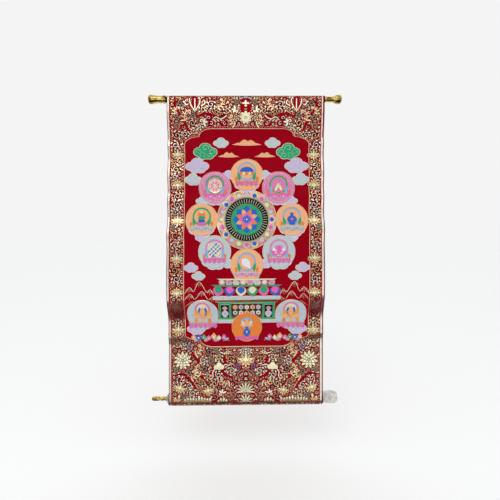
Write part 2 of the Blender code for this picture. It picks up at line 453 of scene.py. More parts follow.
def cloth_columns():
    half = CLOTH_WIDTH / 2
    inner = half - HEM_WIDTH - HEM_STEP
    even = list(np.linspace(-inner, inner, INNER_COLUMNS + 1))
    right = [half - HEM_WIDTH, half - HEM_WIDTH / 2, half]
    return [-half, -half + HEM_WIDTH / 2, HEM_WIDTH - half, *even, *right]


def runs_past(part, step):
    """The outer face past a rod, column by column, at each millimetre along it."""
    lines = []
    for x in cloth_columns():
        line = cloth_parts(x)[part][::step]
        lengths = np.concatenate([[0], np.cumsum(np.hypot(*np.diff(line, axis=0).T))])
        lines.append((line, lengths))
    stations = np.arange(0, floor(min(lengths[-1] for _, lengths in lines)))
    return np.array([[np.interp(stations, reach, side) for side in line.T] for line, reach in lines])


def past_end(table, x, run, rise, hand):
    """Forward and height at a distance along a table from runs_past, raised from the face."""
    columns = np.array(cloth_columns())
    column = np.clip(np.searchsorted(columns, x) - 1, 0, len(columns) - 2)
    across = (x - columns[column]) / (columns[column + 1] - columns[column])
    station = np.clip(run.astype(int), 0, table.shape[2] - 2)
    start, end = [
        table[column, :, place] * (1 - across)[:, None] + table[column + 1, :, place] * across[:, None]
        for place in (station, station + 1)
    ]
    along = (end - start) / np.hypot(*(end - start).T)[:, None]
    place = start + (end - start) * (run - station)[:, None]
    return place[:, 0] + hand * rise * along[:, 1], place[:, 1] - hand * rise * along[:, 0]


OVER_ROD = runs_past(2, 1)
UNDER_ROLLER = runs_past(0, -1)
TOP_END = OVER_ROD.shape[2] - 2
FOOT_END = -ROLLER_DROP - UNDER_ROLLER.shape[2] + 2


def make_cloth():
    """The cloth: one sheet of its real thickness, with thicker hems and both sleeves."""
    columns = cloth_columns()
    sections = [np.concatenate(cloth_parts(x)) for x in columns]
    rows = min(len(section) for section in sections)
    grid = []
    for x, section in zip(columns, sections):
        forward, height = section[:rows].T
        grid.append(np.stack([np.full(rows, x), -forward, height + roller_lift(x, height)], axis=1))
    count = len(columns)
    faces = [
        (c * rows + r, (c + 1) * rows + r, (c + 1) * rows + r + 1, c * rows + r + 1)
        for c in range(count - 1)
        for r in range(rows - 1)
    ]
    mesh = bpy.data.meshes.new("brocade_cloth")
    mesh.from_pydata((np.concatenate(grid) * MM).tolist(), [], faces)
    for finish in ("crimson", "reverse", "maroon"):
        mesh.materials.append(material(finish))
    cloth = new_piece("brocade_cloth", mesh)
    hems = [c * rows + r for c in (0, 1, 2, count - 3, count - 2, count - 1) for r in range(rows)]
    layers = cloth.vertex_groups.new(name="layers")
    layers.add(range(len(mesh.vertices)), CLOTH_THICK / HEM_THICK, "REPLACE")
    layers.add(hems, 1.0, "REPLACE")
    thicken = cloth.modifiers.new("thickness", "SOLIDIFY")
    thicken.thickness = HEM_THICK * MM
    thicken.offset = -1
    thicken.use_even_offset = True
    thicken.vertex_group = layers.name
    thicken.material_offset = 1
    thicken.material_offset_rim = 2
    mesh.shade_smooth()
    return cloth


# Relief

class Relief:
    """Closed low shapes, gathered flat and built as one piece."""

    def __init__(self):
        self.points = []
        self.faces = []
        self.finishes = []

    def add(self, points, faces, finish):
        start = len(self.points)
        self.points.extend(points)
        self.faces.extend([start + corner for corner in face] for face in faces)
        self.finishes.extend([finish] * len(faces))

    def mirrored(self, axis=0):
        other = Relief()
        other.points = [(2 * axis - x, up, rise) for x, up, rise in self.points]
        other.faces = [face[::-1] for face in self.faces]
        other.finishes = self.finishes
        return other

    def take(self, other):
        start = len(self.points)
        self.points.extend(other.points)
        self.faces.extend([start + corner for corner in face] for face in other.faces)
        self.finishes.extend(other.finishes)

    def build(self, name):
        mesh = bpy.data.meshes.new(name)
        mesh.from_pydata(on_cloth(self.points).tolist(), [], self.faces)
        names = sorted(set(self.finishes))
        for finish in names:
            mesh.materials.append(material(finish))
        mesh.polygons.foreach_set("material_index", [names.index(finish) for finish in self.finishes])
        mesh.shade_smooth()
        mesh.set_sharp_from_angle(angle=SOFT_ANGLE)
        return new_piece(name, mesh)


def top_of(layer):
    return FIRST_LAYER + LAYER * layer


def lifted(places, rise):
    return [(place.real, place.imag, rise) for place in places]


def cut_finer(points, faces):
    """Adds edges across a shape every few millimetres, so that it bends with the cloth."""
    shape = bmesh.new()
    corners = [shape.verts.new(point) for point in points]
    for face in faces:
        shape.faces.new([corners[i] for i in face])
    for axis, spacing in ((1, CUT_UP), (0, CUT_ACROSS)):
        places = [point[axis] for point in points]
        normal = Vector((1 - axis, axis, 0))
        for i in range(floor(min(places) / spacing) + 1, ceil(max(places) / spacing)):
            everything = shape.verts[:] + shape.edges[:] + shape.faces[:]
            cut = normal * (i * spacing)
            bmesh.ops.bisect_plane(shape, geom=everything, plane_co=cut, plane_no=normal)
    shape.verts.index_update()
    cut_points = [tuple(corner.co) for corner in shape.verts]
    cut_faces = [[corner.index for corner in face.verts] for face in shape.faces]
    shape.free()
    return cut_points, cut_faces


def beside(before, after, distance):
    """The step to the left of a direction, by a distance."""
    along = after - before
    return 1j * along / (abs(along) or 1) * distance


def inset(ring, depth):
    neighbours = zip([ring[-1], *ring], ring, [*ring[1:], ring[0]])
    return [place + beside(before, after, depth) for before, place, after in neighbours]


def anticlockwise(ring):
    area = sum((a.conjugate() * b).imag for a, b in zip(ring, [*ring[1:], ring[0]]))
    return ring[::-1] if area < 0 else ring


def pad(relief, ring, finish, layer=1, edge=EDGE):
    """A flat-topped shape with a rounded edge, closed underneath."""
    ring = anticlockwise(ring)
    count = len(ring)
    points = lifted(ring, SUNK) + lifted(inset(ring, edge), top_of(layer))
    faces = [(i, (i + 1) % count, count + (i + 1) % count, count + i) for i in range(count)]
    faces += [list(range(count, 2 * count)), list(range(count - 1, -1, -1))]
    wide, tall = np.ptp([place.real for place in ring]), np.ptp([place.imag for place in ring])
    if tall > CUT_UP * UNCUT_SHARE or wide > CUT_ACROSS * UNCUT_SHARE:
        points, faces = cut_finer(points, faces)
    relief.add(points, faces, finish)


def with_bends(path):
    """The same path, with points added where a step is too long to bend with the cloth."""
    finer = [path[0]]
    for a, b in zip(path, path[1:]):
        spans = max(abs((b - a).real) / CUT_ACROSS, abs((b - a).imag) / CUT_UP)
        count = max(1, ceil(spans + 1 - UNCUT_SHARE))
        finer += [a + (b - a) * i / count for i in range(1, count + 1)]
    return finer


def ribbon(relief, path, width, finish, layer=1, taper=(1, 1), closed=False, on=None):
    """A raised line along a path. Its width runs from taper[0] to taper[1] times the full one.

    With on, the line lies on that layer instead of coming up from the face.
    """
    path = with_bends(path)
    foot = SUNK if on is None else top_of(on) - LINE_SUNK
    count = len(path)
    points = []
    for i, place in enumerate(path):
        before = path[i - 1] if i or closed else place
        after = path[(i + 1) % count] if i < count - 1 or closed else place
        half = width / 2 * (taper[0] + (taper[1] - taper[0]) * (i / (count - 1)))
        side = beside(before, after, half)
        rim = [lifted([place + step], foot) for step in (side, -side)]
        points += rim[0] + lifted([place], top_of(layer)) + rim[1]
    faces = []
    for i in range(count if closed else count - 1):
        a, b = 3 * i, 3 * ((i + 1) % count)
        faces += [(a, a + 1, b + 1, b), (a + 1, a + 2, b + 2, b + 1), (a + 2, a, b, b + 2)]
    if not closed:
        end = 3 * (count - 1)
        faces += [(0, 2, 1), (end, end + 1, end + 2)]
    relief.add(points, faces, finish)


# Outlines and paths, as lists of places

def spot(centre, radius, degrees):
    return centre + rect(radius, radians(degrees))


def circle(centre, radius, squash=1):
    count = max(10, round(4 * radius**0.5) + 8)
    turns = [FULL_TURN * i / count for i in range(count)]
    return [centre + complex(radius * cos(a), radius * squash * sin(a)) for a in turns]


def scallops(centre, radius, lobes, depth, start=0, steps=5):
    """A ring of round lobes, as on a blossom or a cloud."""
    ring = []
    for i in range(lobes * steps):
        reach = radius * (1 - depth + depth * abs(sin(pi * i / steps)) ** 0.7)
        ring.append(centre + rect(reach, radians(start) + FULL_TURN * i / (lobes * steps)))
    return ring


def petal(base, degrees, length, width, bend=0, fullness=1.0, steps=6):
    """A pointed petal or leaf from its base. bend turns its tip aside, in degrees."""
    spine = [base]
    for i in range(1, steps + 1):
        spine.append(spot(spine[-1], length / steps, degrees + bend * (i - 0.5) / steps))
    left, right = [], []
    for i in range(1, steps):
        half = width / 2 * sin(pi * (i / steps) ** fullness) ** 0.8
        heading = degrees + bend * i / steps
        left.append(spot(spine[i], half, heading + 90))
        right.append(spot(spine[i], half, heading - 90))
    return [spine[0], *right, spine[-1], *left[::-1]]


def spiral(centre, radius, start, turns, hand=1, inner=0.3):
    """A path from a circle's rim inwards."""
    count = max(7, round(turns * pi * radius * (1 + inner) / RIBBON_STEP))
    shares = [i / count for i in range(count + 1)]
    return [spot(centre, radius * (1 - (1 - inner) * t), start + hand * 360 * turns * t) for t in shares]


def smooth(points):
    """A curve through points, close together."""
    ends = [points[0], *points, points[-1]]
    path = []
    for p, q, r, s in zip(ends, ends[1:], ends[2:], ends[3:]):
        count = max(2, round(abs(r - q) / RIBBON_STEP))
        for i in range(count):
            t = i / count
            bend = (2 * p - 5 * q + 4 * r - s) * t * t + (3 * q - p - 3 * r + s) * t**3
            path.append(0.5 * (2 * q + (r - p) * t + bend))
    return [*path, points[-1]]


def evenly(path, step, closed=False):
    """The same path with points an even step apart."""
    loop = [*path, path[0]] if closed else path
    points = []
    for a, b in zip(loop, loop[1:]):
        count = max(1, round(abs(b - a) / step))
        points += [a + (b - a) * i / count for i in range(count)]
    return points if closed else [*points, loop[-1]]


def laid(shape, centre, degrees, size, side=1):
    """A shape given along and beside a direction, at a size. side is -1 for its mirror image."""
    along, aside = spot(0, 1, degrees), spot(0, 1, degrees + 90)
    return [centre + p.real * size * along + side * p.imag * size * aside for p in shape]


# Motifs

def outlined(relief, ring, fill, layer, width=1.1, line="gold"):
    """A pad with a raised line along its edge."""
    pad(relief, ring, fill, layer)
    ribbon(relief, [*ring, ring[0]], width, line, layer + 2)


def edged(relief, ring, fill, layer=1, margin=0.8, edge="dark_green"):
    """A pad on a slightly larger one, which shows around it."""
    ring = anticlockwise(ring)
    pad(relief, inset(ring, -margin), edge, layer)
    pad(relief, ring, fill, layer + 1)


def disc(relief, centre, radius, fill, layer, width=2.2, line="gold"):
    outlined(relief, circle(centre, radius), fill, layer, width, line)


def hoop(relief, centre, radius, width, finish, layer, on):
    ring = circle(centre, radius)
    ribbon(relief, [*ring, ring[0]], width, finish, layer, on=on)


def stroke(relief, points, width, finish, layer=1, taper=(1, 0.45), edge=None):
    path = smooth(points)
    if edge:
        ribbon(relief, path, width + STROKE_EDGE, edge, layer - 1, taper)
    ribbon(relief, path, width, finish, layer, taper)


def fan(relief, base, size, degrees, count, spread, fills, layer, wide, fullness=1.25):
    """Petals that open like a fan. The outer ones lie under the inner ones."""
    middle = (count - 1) / 2
    order = sorted(range(count), key=lambda i: -abs(i - middle))
    for step, i in enumerate(order):
        turn = spread * (i - middle) / max(middle, 1)
        length = size * (1 - 0.12 * abs(i - middle) / max(middle, 1))
        ring = petal(base, degrees + turn, length, size * wide, turn * 0.3, fullness)
        level = layer + (step >= count - 2)
        edged(relief, ring, fills[round(abs(i - middle)) % len(fills)], level, 1.0)
        if length > 14:
            shares = (0.35, 0.6, 0.85)
            vein = [spot(base, length * share, degrees + turn * (1 + 0.1 * share)) for share in shares]
            ribbon(relief, smooth(vein), 1.1, "dark_green", level + 2, (1, 0.6))


def lotus(relief, centre, size, degrees=90):
    """A brocade lotus from the side: two fans of petals, curled sepals and a seeded heart."""
    hook = (0.02 + 0.1j, -0.1 + 0.3j, 0.05 + 0.5j, 0.2 + 0.44j, 0.16 + 0.34j)
    for side in (-1, 1):
        stroke(relief, laid(hook, centre, degrees, size, side), 3.0, "gold", 1, (1, 0.6))
    fan(relief, centre, size * 0.6, degrees, 7, 84, ("gold", "deep_gold"), 2, 0.3, 1.1)
    fan(relief, centre, size * 0.42, degrees, 3, 34, ("pale_gold", "gold"), 4, 0.4, 1.0)
    pad(relief, circle(centre, size * 0.1), "deep_gold", 6)
    for side in (-1, 0, 1):
        base = spot(centre, size * 0.08, degrees + 180 + side * 40)
        sepal = petal(base, degrees + 180 + side * 46, size * 0.26, size * 0.11, side * 30)
        pad(relief, sepal, "gold", 2)


def blossom(relief, centre, radius):
    """A full flower of pointed petals with dark veins, three rings deep around a seeded heart."""
    rings = ((11, 1.0, "gold"), (8, 0.66, "pale_gold"), (5, 0.36, "gold"))
    for row, (count, reach, fill) in enumerate(rings):
        for i in range(count):
            turn = 360 * (i + 0.5 * row) / count + 90
            base = spot(centre, radius * 0.1, turn)
            ring = petal(base, turn, radius * reach * 0.9, radius * 1.9 * reach / count * 1.9, 8, 1.15)
            edged(relief, ring, fill, 1 + 2 * row, 1.3)
            if row < 2:
                vein = [spot(base, radius * reach * share, turn) for share in (0.35, 0.74)]
                ribbon(relief, evenly(vein, 3), 1.2, "dark_green", 3 + 2 * row, (1, 0.6))
    pad(relief, circle(centre, radius * 0.1), "deep_gold", 8)


def cloud_head(relief, centre, size):
    """The head of a scroll: round lobes, with a wave that trails off and a tongue that hangs."""
    for lobe, radius in ((0.3j, 0.36), (-0.42 - 0.04j, 0.34), (0.4 - 0.02j, 0.36), (-0.14j, 0.3)):
        place = centre + lobe * size
        pad(relief, circle(place, radius * size + 1.6), "dark_green")
        pad(relief, circle(place, radius * size), "pale_gold" if lobe.imag > 0 else "gold", 2)
        curl = spiral(place, radius * size * 0.6, 90, 0.8)
        ribbon(relief, curl, 1.7, "dark_green", 3, (0.8, 0.8))
    trail = (0.6 + 0.1j, 0.95 + 0.34j, 1.35 + 0.2j, 1.7 + 0.42j, 2.1 + 0.34j)
    tongue = (-0.6 - 0.3j, -0.9 - 0.8j, -0.84 - 1.3j, -1.1 - 1.8j)
    for line in (trail, tongue):
        stroke(relief, [centre + p * size for p in line], 7, "pale_gold", 2, (0.9, 0.5), "dark_green")


def fringe(relief, start, end, up):
    """A solid band with a row of short petals standing on it."""
    band = [complex(start, up - 9), complex(end, up - 9), complex(end + 4, up), complex(start - 4, up)]
    edged(relief, band, "deep_gold", 1, 1.0, "ink")
    count = round((end - start) / 8)
    for i in range(count):
        base = complex(start + (end - start) * (i + 0.5) / count, up - 1)
        turn = 90 - 50 * ((i + 0.5) / count - 0.5)
        length = (13 - 5 * abs(2 * i / count - 1)) * (0.75 + 0.45 * (3 * i % 4) / 3)
        edged(relief, petal(base, turn, length, 7.4), "gold" if i % 3 == 1 else "pale_gold", 1, 0.7)


def rosette(relief, centre, radius, petals=9):
    """A blossom from the front: two rings of petals with dark eyes between, and a seeded heart."""
    pad(relief, circle(centre, radius * 0.74), "dark_green")
    for row, (reach, fill) in enumerate(((1.0, "gold"), (0.66, "pale_gold"))):
        for i in range(petals):
            turn = 360 * (i + 0.5 * row) / petals + 90
            base = spot(centre, radius * 0.12, turn)
            ring = petal(base, turn, radius * reach * 0.88, radius * (0.5 - 0.12 * row), 0, 1.4)
            edged(relief, ring, fill, 2 + row, 0.5)
    pad(relief, circle(centre, radius * 0.2), "deep_gold", 5)
    pad(relief, circle(centre, radius * 0.09), "pale_gold", 6)


def spray(relief, base, size, degrees, leaves=4):
    """A wave of comma leaves that follow one another round a bend and end in a curl."""
    hand = 1 if degrees > 90 else -1
    place, heading = base, degrees
    spine = [base]
    for i in range(leaves):
        share = 1 - 0.13 * i
        outer = petal(place, heading + hand * 46, size * 0.42 * share, 4.6 * share, hand * 54)
        inner = petal(place, heading - hand * 40, size * 0.3 * share, 3.9 * share, -hand * 44)
        edged(relief, outer, "gold", 1, 0.6)
        pad(relief, inner, "deep_gold" if i % 2 else "gold")
        place = spot(place, size * 0.23, heading)
        spine.append(place)
        heading -= hand * 26
    stroke(relief, spine, 3.2, "gold", 3, (1, 0.8))
    heart = spot(place, size * 0.12, heading - hand * 90)
    ribbon(relief, spiral(heart, size * 0.12, heading + hand * 90, 1.15, -hand), 3.2, "gold", 2, (1, 0.6))


def wave_leaf(relief, base, length, degrees):
    """A long leaf like the crest of a wave, with three short tongues under it."""
    hand = 1 if degrees < 90 else -1
    crest = laid((0, 0.26 + 0.16j, 0.55, 0.82 + 0.05j, 1 + 0.18j), base, degrees, length, hand)
    stroke(relief, crest, 6.6, "pale_gold", 2, (0.6, 0.9), "dark_green")
    for root in laid((0.1 + 0.06j, 0.3 + 0.06j, 0.5 + 0.06j), base, degrees, length, hand):
        edged(relief, petal(root, degrees - hand * 70, length * 0.3, 4, hand * 40), "gold", 1, 0.5)


def plume(relief, top, height):
    """Long strokes that hang from the top and close in on one another, like the ribs of a vase."""
    rib = (0.40j, 0.35 + 0.36j, 0.7 + 0.2j, 0.9 + 0.05j)
    for side in (-1, 0, 1):
        stroke(relief, laid(rib, top, -90, height, side), 4.2, "pale_gold", 2, (0.8, 1))
    hook = (0.1 + 0.66j, 0.3 + 0.78j, 0.5 + 0.66j, 0.44 + 0.54j)
    for side in (-1, 1):
        stroke(relief, laid(hook, top, -90, height, side), 4.6, "pale_gold", 2, (0.7, 1))
    fan(relief, spot(top, height * 0.8, -90), height * 0.26, -90, 5, 96, ("pale_gold", "gold"), 1, 0.3)


def star_flower(relief, centre, size, degrees):
    """Three broad leaves and a curl around a small eye."""
    for turn, reach in ((-52, 1.0), (8, 0.86), (66, 0.7)):
        ring = petal(centre, degrees + turn, size * reach, size * 0.36, 22, 1)
        edged(relief, ring, "pale_gold", 1, 0.7)
    curl = spiral(spot(centre, size * 0.34, degrees + 180), size * 0.3, degrees, 1.0)
    ribbon(relief, curl, 4.2, "pale_gold", 2, (1, 0.7))


def beads(relief, path, pitch=2.4):
    """A row of short pale petals along a line."""
    points = evenly(path, pitch)
    for a, b in zip(points[::2], points[1::2]):
        heading = phase(b - a) * 180 / pi
        pad(relief, petal(a, heading + 58, pitch * 1.5, pitch * 0.62, 0, 1, 4), "pale_gold")


def bell(relief, centre, size):
    """A small hanging flower on a stem."""
    edged(relief, petal(centre - 0.1j * size, 90, size * 0.62, size * 0.34), "pale_gold", 2)
    for side in (-1, 1):
        ring = petal(centre + 0.05j * size, 90 + side * 72, size * 0.56, size * 0.24, side * 34)
        edged(relief, ring, "gold", 1, 0.5)
    edged(relief, circle(centre - 0.22j * size, size * 0.17), "gold")
    pad(relief, circle(centre - 0.22j * size, size * 0.07), "dark_green", 4)


# What the small motifs of the border are woven in, with the share of each

PALETTES = (
    (("gold", 40), ("pale_gold", 34), ("deep_gold", 14), ("sage", 6), ("rose", 6)),
    (("sage", 30), ("pale_gold", 30), ("cream", 14), ("gold", 18), ("mauve", 4), ("mist", 4)),
    (("rose", 26), ("deep_gold", 24), ("gold", 30), ("sage", 8), ("pale_gold", 12)),
)
SPECKS = (("pale_gold", 24), ("gold", 26), ("ink", 18), ("sage", 20), ("rose", 12))
EDGES = (("dark_green", 46), ("ink", 42), ("dusk", 12))
GROUNDS = (("dusk", 42), ("maroon", 58))
CORNER_TOP, CORNER_FOOT, CORNER_SIDE = -58, -128, 160


def pick(choices, random):
    return random.choices([name for name, _ in choices], [weight for _, weight in choices])[0]


def palette_at(centre, random):
    """Which colours a part of the border is woven in: patches of gold, of olive and of rose."""
    x, up = abs(centre.real), centre.imag
    tone = sin(centre.real / 31 + 1.2) + sin(up / 27 + centre.real / 90) + random.uniform(-0.7, 0.7)
    if tone < -0.95 or (x > CORNER_SIDE and CORNER_FOOT < up < CORNER_TOP):
        return pick(PALETTES[2], random)
    at_side = x > WINDOW_HALF and WINDOW_BOTTOM < up < CORNER_TOP
    return pick(PALETTES[1 if tone > 1.05 and not at_side else 0], random)


def filler(relief, centre, radius, random):
    """One small motif that fills a circle of the border, by the circle's size."""
    finish = palette_at(centre, random)
    edge = pick(EDGES, random)
    turn = random.uniform(0, 360)
    hand = random.choice((-1, 1))
    if radius > 8.5:
        pad(relief, scallops(centre, radius * 0.98, 7, 0.16, turn), pick(GROUNDS, random), 0)
        path = spiral(centre, radius * 0.78, turn, 1.15, hand, 0.26)
        ribbon(relief, path, 8.8, edge, 1, (1, 0.8))
        ribbon(relief, path, 4.6, finish, 2, (1, 0.8))
        for i in range(5):
            angle = turn - hand * (4 + 58 * i)
            base = spot(centre, radius * 0.82, angle)
            ring = petal(base, angle - hand * 62, radius * 0.7, 4.2, -hand * 40, 1, 5)
            edged(relief, ring, "pale_gold" if i == 1 else finish, 2, 0.9, edge)
    elif radius > 5.2:
        pad(relief, scallops(centre, radius * 0.98, 5, 0.16, turn), pick(GROUNDS, random), 0)
        path = spiral(centre, radius * 0.72, turn, 0.9, hand)
        ribbon(relief, path, 8.0, edge, 1, (1, 0.7))
        ribbon(relief, path, 4.3, finish, 2, (1, 0.7))
    elif radius > 3.0:
        steps = ((0.86, 0), (0.7, 70), (0.62, 150), (0.4, 230))
        path = [spot(centre, radius * reach, turn + hand * angle) for reach, angle in steps]
        stroke(relief, path, 4.2, finish, 1, (0.6, 1.1), edge)
    elif radius > 1.9:
        base = spot(centre, radius * 0.98, turn + 180)
        ring = petal(base, turn, radius * 1.95, radius, 50 * hand, 1, 5)
        edged(relief, ring, finish, 0, 0.6, edge)
    else:
        ring = petal(spot(centre, radius, turn + 180), turn, radius * 2, radius, 40 * hand, 1, 4)
        pad(relief, ring, pick(SPECKS, random), 1, 0.2)


# The window's outline: two convex lobes at each corner

def quarter_bow(start, end, count=9):
    """A quarter of an oval that leaves start upright and arrives at end level."""
    turns = [pi / 2 * i / count for i in range(count + 1)]
    across, upward = start.real - end.real, end.imag - start.imag
    return [complex(end.real + across * cos(a), start.imag + upward * sin(a)) for a in turns]


def window_outline():
    """The outline, anticlockwise from the middle of its top."""
    outer, inner, level = TOP_LOBES
    top = quarter_bow(inner, level)[::-1] + quarter_bow(outer, inner)[::-1][1:]
    outer, inner, level = LOW_LOBES
    low = quarter_bow(outer, inner) + quarter_bow(inner, level)[1:]
    left = [complex(0, WINDOW_TOP), *top, *low, complex(0, WINDOW_BOTTOM)]
    right = [-place.conjugate() for place in left[-2:0:-1]]
    return [place + MIDDLE for place in left + right]


# The border's left half: larger motifs listed one by one, each with its place, size and angle

LOTUSES = (
    (-200 - 158j, 36, 90), (-200 - 252j, 36, -90), (-200 - 352j, 38, 90), (-200 - 462j, 38, 90),
    (-200 - 566j, 36, -90), (-200 - 676j, 40, 90), (-112 - 858j, 34, 100), (-196 - 850j, 36, 70),
)
SPRAYS = (
    (-30 - 74j, 36, 160), (-82 - 26j, 34, 20), (-176 - 64j, 40, 110), (-206 - 46j, 30, 100),
    (-152 - 752j, 40, 20), (-134 - 812j, 38, 150), (-48 - 836j, 36, 200), (-164 - 824j, 34, 20),
)
WAVE_LEAVES = ((-98 - 62j, 44, 8), (-46 - 746j, 30, 190))
STAR_FLOWERS = ((-124 - 66j, 17, -20), (-30 - 34j, 15, 150), (-72 - 868j, 16, 60))
FRINGES = ((-184, -104, -889), (-214, -196, -884), (-84, -56, -893))
AXIS_SCROLLS = (
    (-3 - 800j, -14 - 802j, -24 - 812j, -20 - 824j, -10 - 822j, -11 - 814j),
    (-3 - 842j, -10 - 834j, -22 - 838j, -34 - 832j, -36 - 820j, -30 - 814j),
)
PLUME_AT = -148
BEAD_GAP = 3.6j

# Plain ground that the small motifs keep clear of: veins, and beside the plumes and the bell
GROUND_VEINS = (
    (-206 - 6j, -199 - 34j, -180 - 62j, -168 - 92j),
    (-140 - 52j, -112 - 44j, -84 - 56j, -66 - 84j),
    (-160 - 752j, -140 - 776j, -148 - 800j, -124 - 824j),
    (-74 - 744j, -60 - 776j, -70 - 806j, -40 - 822j),
    (-210 - 812j, -176 - 816j, -150 - 852j),
)
VEIN_HALF = 2.4
PLUME_CLEAR = (PLUME_AT, range(-22, 1, 3), 8)
BELL_CLEAR = (-9, range(-34, -6, 3), 5)
BORDER_PIECES = ("border_left", "border_right", "curls_left", "curls_right", "border_fillings")


def both_sides(places):
    return [*places, *(-place.conjugate() for place in places)]


class Room:
    """How far each place of the pattern, a millimetre apart, is from the nearest shape or edge."""

    END_MARGIN = 6

    def __init__(self, outline):
        self.left = -PATTERN_LEFT
        self.foot = FOOT_END + self.END_MARGIN
        top = TOP_END - self.END_MARGIN
        across = np.arange(self.left, PATTERN_LEFT + 0.5)
        self.x, self.up = np.meshgrid(across, np.arange(self.foot, top, 1.0))
        self.free = np.minimum(self.x - self.left, PATTERN_RIGHT - self.x)
        self.free = np.minimum(self.free, np.minimum(self.up - self.foot, top - self.up))
        self.free[self.inside(outline)] = -1
        self.block(evenly(outline, 1.5, True), OUTLINE_WIDTH / 2 + 0.7)

    def inside(self, ring):
        within = np.zeros(self.x.shape, bool)
        for a, b in zip(ring, [*ring[1:], ring[0]]):
            if a.imag == b.imag:
                continue
            crosses = (self.up < a.imag) != (self.up < b.imag)
            edge_x = (b.real - a.real) * (self.up - a.imag) / (b.imag - a.imag) + a.real
            within ^= crosses & (self.x < edge_x)
        return within

    def block(self, places, margin):
        reach = ceil(CURL_LARGEST + margin) + 1
        for place in places:
            column, row = round(place.real - self.left), round(place.imag - self.foot)
            near = (slice(max(row - reach, 0), max(row + reach + 1, 0)),
                    slice(max(column - reach, 0), max(column + reach + 1, 0)))
            away = np.hypot(self.x[near] - place.real, self.up[near] - place.imag) - margin
            self.free[near] = np.minimum(self.free[near], away)

    def circles(self, random, smallest, both):
        """Circles that fill what is free, the largest first. With both, free on the other side too."""
        while True:
            free = self.free
            if both:
                free = np.minimum(free, free[:, ::-1])[:, : free.shape[1] // 2]
            most = min(free.max(), CURL_LARGEST)
            if most < smallest:
                return
            rows, columns = np.nonzero(free >= most * 0.94)
            chosen = random.randrange(len(rows))
            place = (rows[chosen], columns[chosen])
            centre = complex(self.x[place], self.up[place])
            radius = min(float(free[place]), CURL_LARGEST)
            yield centre, radius
            self.block(both_sides([centre]) if both else [centre], radius + CURL_GAP)


def draw_axis():
    axis = Relief()
    rosette(axis, -55j, 19)
    bell(axis, -16j, 22)
    lotus(axis, -776j, 48)
    fan(axis, -866j, 34, 90, 9, 80, ("pale_gold", "gold"), 1, 0.13)
    fan(axis, -894j, 26, 90, 7, 84, ("gold", "pale_gold"), 1, 0.2)
    return axis


def draw_half(outline):
    half = Relief()
    for place, size, angle in LOTUSES:
        lotus(half, spot(place, size * 0.2, angle + 180), size, angle)
    for draw, rows in ((spray, SPRAYS), (wave_leaf, WAVE_LEAVES)):
        for row in rows:
            draw(half, *row)
    blossom(half, -188 - 770j, 28)
    cloud_head(half, -80 - 790j, 21)
    for row in FRINGES:
        fringe(half, *row)
    for scroll in AXIS_SCROLLS:
        stroke(half, scroll, 5.4, "sage", 2, (0.9, 0.6), "dark_green")
    for row in STAR_FLOWERS:
        star_flower(half, *row)
    plume(half, PLUME_AT, 38)
    near = [place for place in outline if place.real < MIDDLE + 1]
    beads(half, [place + BEAD_GAP for place in near if place.imag > -125][::-1])
    beads(half, [place - BEAD_GAP for place in near if place.imag < -700])
    return half


def room_around(outline, points):
    room = Room(outline)
    room.block(both_sides([complex(x, up) for x, up, _ in points]), 0.5)
    for x, heights, margin in (PLUME_CLEAR, BELL_CLEAR):
        room.block(both_sides([complex(x, up) for up in heights]), margin)
    for vein in GROUND_VEINS:
        room.block(both_sides(smooth(vein)), VEIN_HALF)
    return room


def make_border(outline):
    """Larger motifs listed one by one, the same on both sides, and small ones wherever there is room."""
    random = Random(RANDOM_SEED)
    axis, half, curls, rest = draw_axis(), draw_half(outline), Relief(), Relief()
    room = room_around(outline, axis.points + half.points)
    for centre, radius in room.circles(random, SMALLEST_PAIRED, True):
        filler(curls, centre, radius, random)
    for centre, radius in room.circles(random, CURL_SMALLEST, False):
        filler(rest, centre, radius, random)
    axis.take(half.mirrored())
    reliefs = (half, axis, curls, curls.mirrored(), rest)
    return [relief.build(name) for relief, name in zip(reliefs, BORDER_PIECES)]


# The window's design: a mandala with eight emblems, clouds, a lotus seat, an altar and hills

def spokes(relief, centre, inner, outer, count, width, finish, layer, on):
    for i in range(count):
        turn = 90 + 360 * i / count
        path = evenly([spot(centre, inner, turn), spot(centre, outer, turn)], 4)
        ribbon(relief, path, width, finish, layer, on=on)


def nested_petal(relief, base, degrees, length, width, fills, layer):
    """A broad petal with smaller ones of other colours inside it."""
    for step, fill in enumerate(fills):
        share = 1 - 0.3 * step
        root = spot(base, length * 0.04 * step, degrees)
        ring = petal(root, degrees, length * share, width * share, 0, 0.85)
        outlined(relief, ring, fill, layer + 2 * step)


def seat(relief, centre, width, fills, layer, height):
    """A lotus seat: broad petals that hang from a thin ledge, two colours to a petal."""
    count = max(5, round(width / height / 1.05))
    reach = width * 0.96
    for i in range(count):
        across = reach * ((i + 0.5) / count - 0.5)
        pair = (fills[i % len(fills)], fills[i % len(fills) - 1])
        turn = across / width * 40 - 90
        nested_petal(relief, centre + across, turn, height, reach / count, pair, layer + 1)
    corners = ((-0.47, -1.5j), (0.47, -1.5j), (0.52, 3j), (-0.52, 3j))
    outlined(relief, [centre + width * x + rise for x, rise in corners], fills[-1], layer + 5, 1.2)


CLOUD_LOBES = (
    (0.30j, 0.40), (-0.42 + 0.02j, 0.36), (0.42 + 0.02j, 0.36), (-0.12 - 0.2j, 0.34),
    (0.26 - 0.22j, 0.3),
)
CLOUD_LIFT = 0.93
CLOUD_SQUASH = 0.78


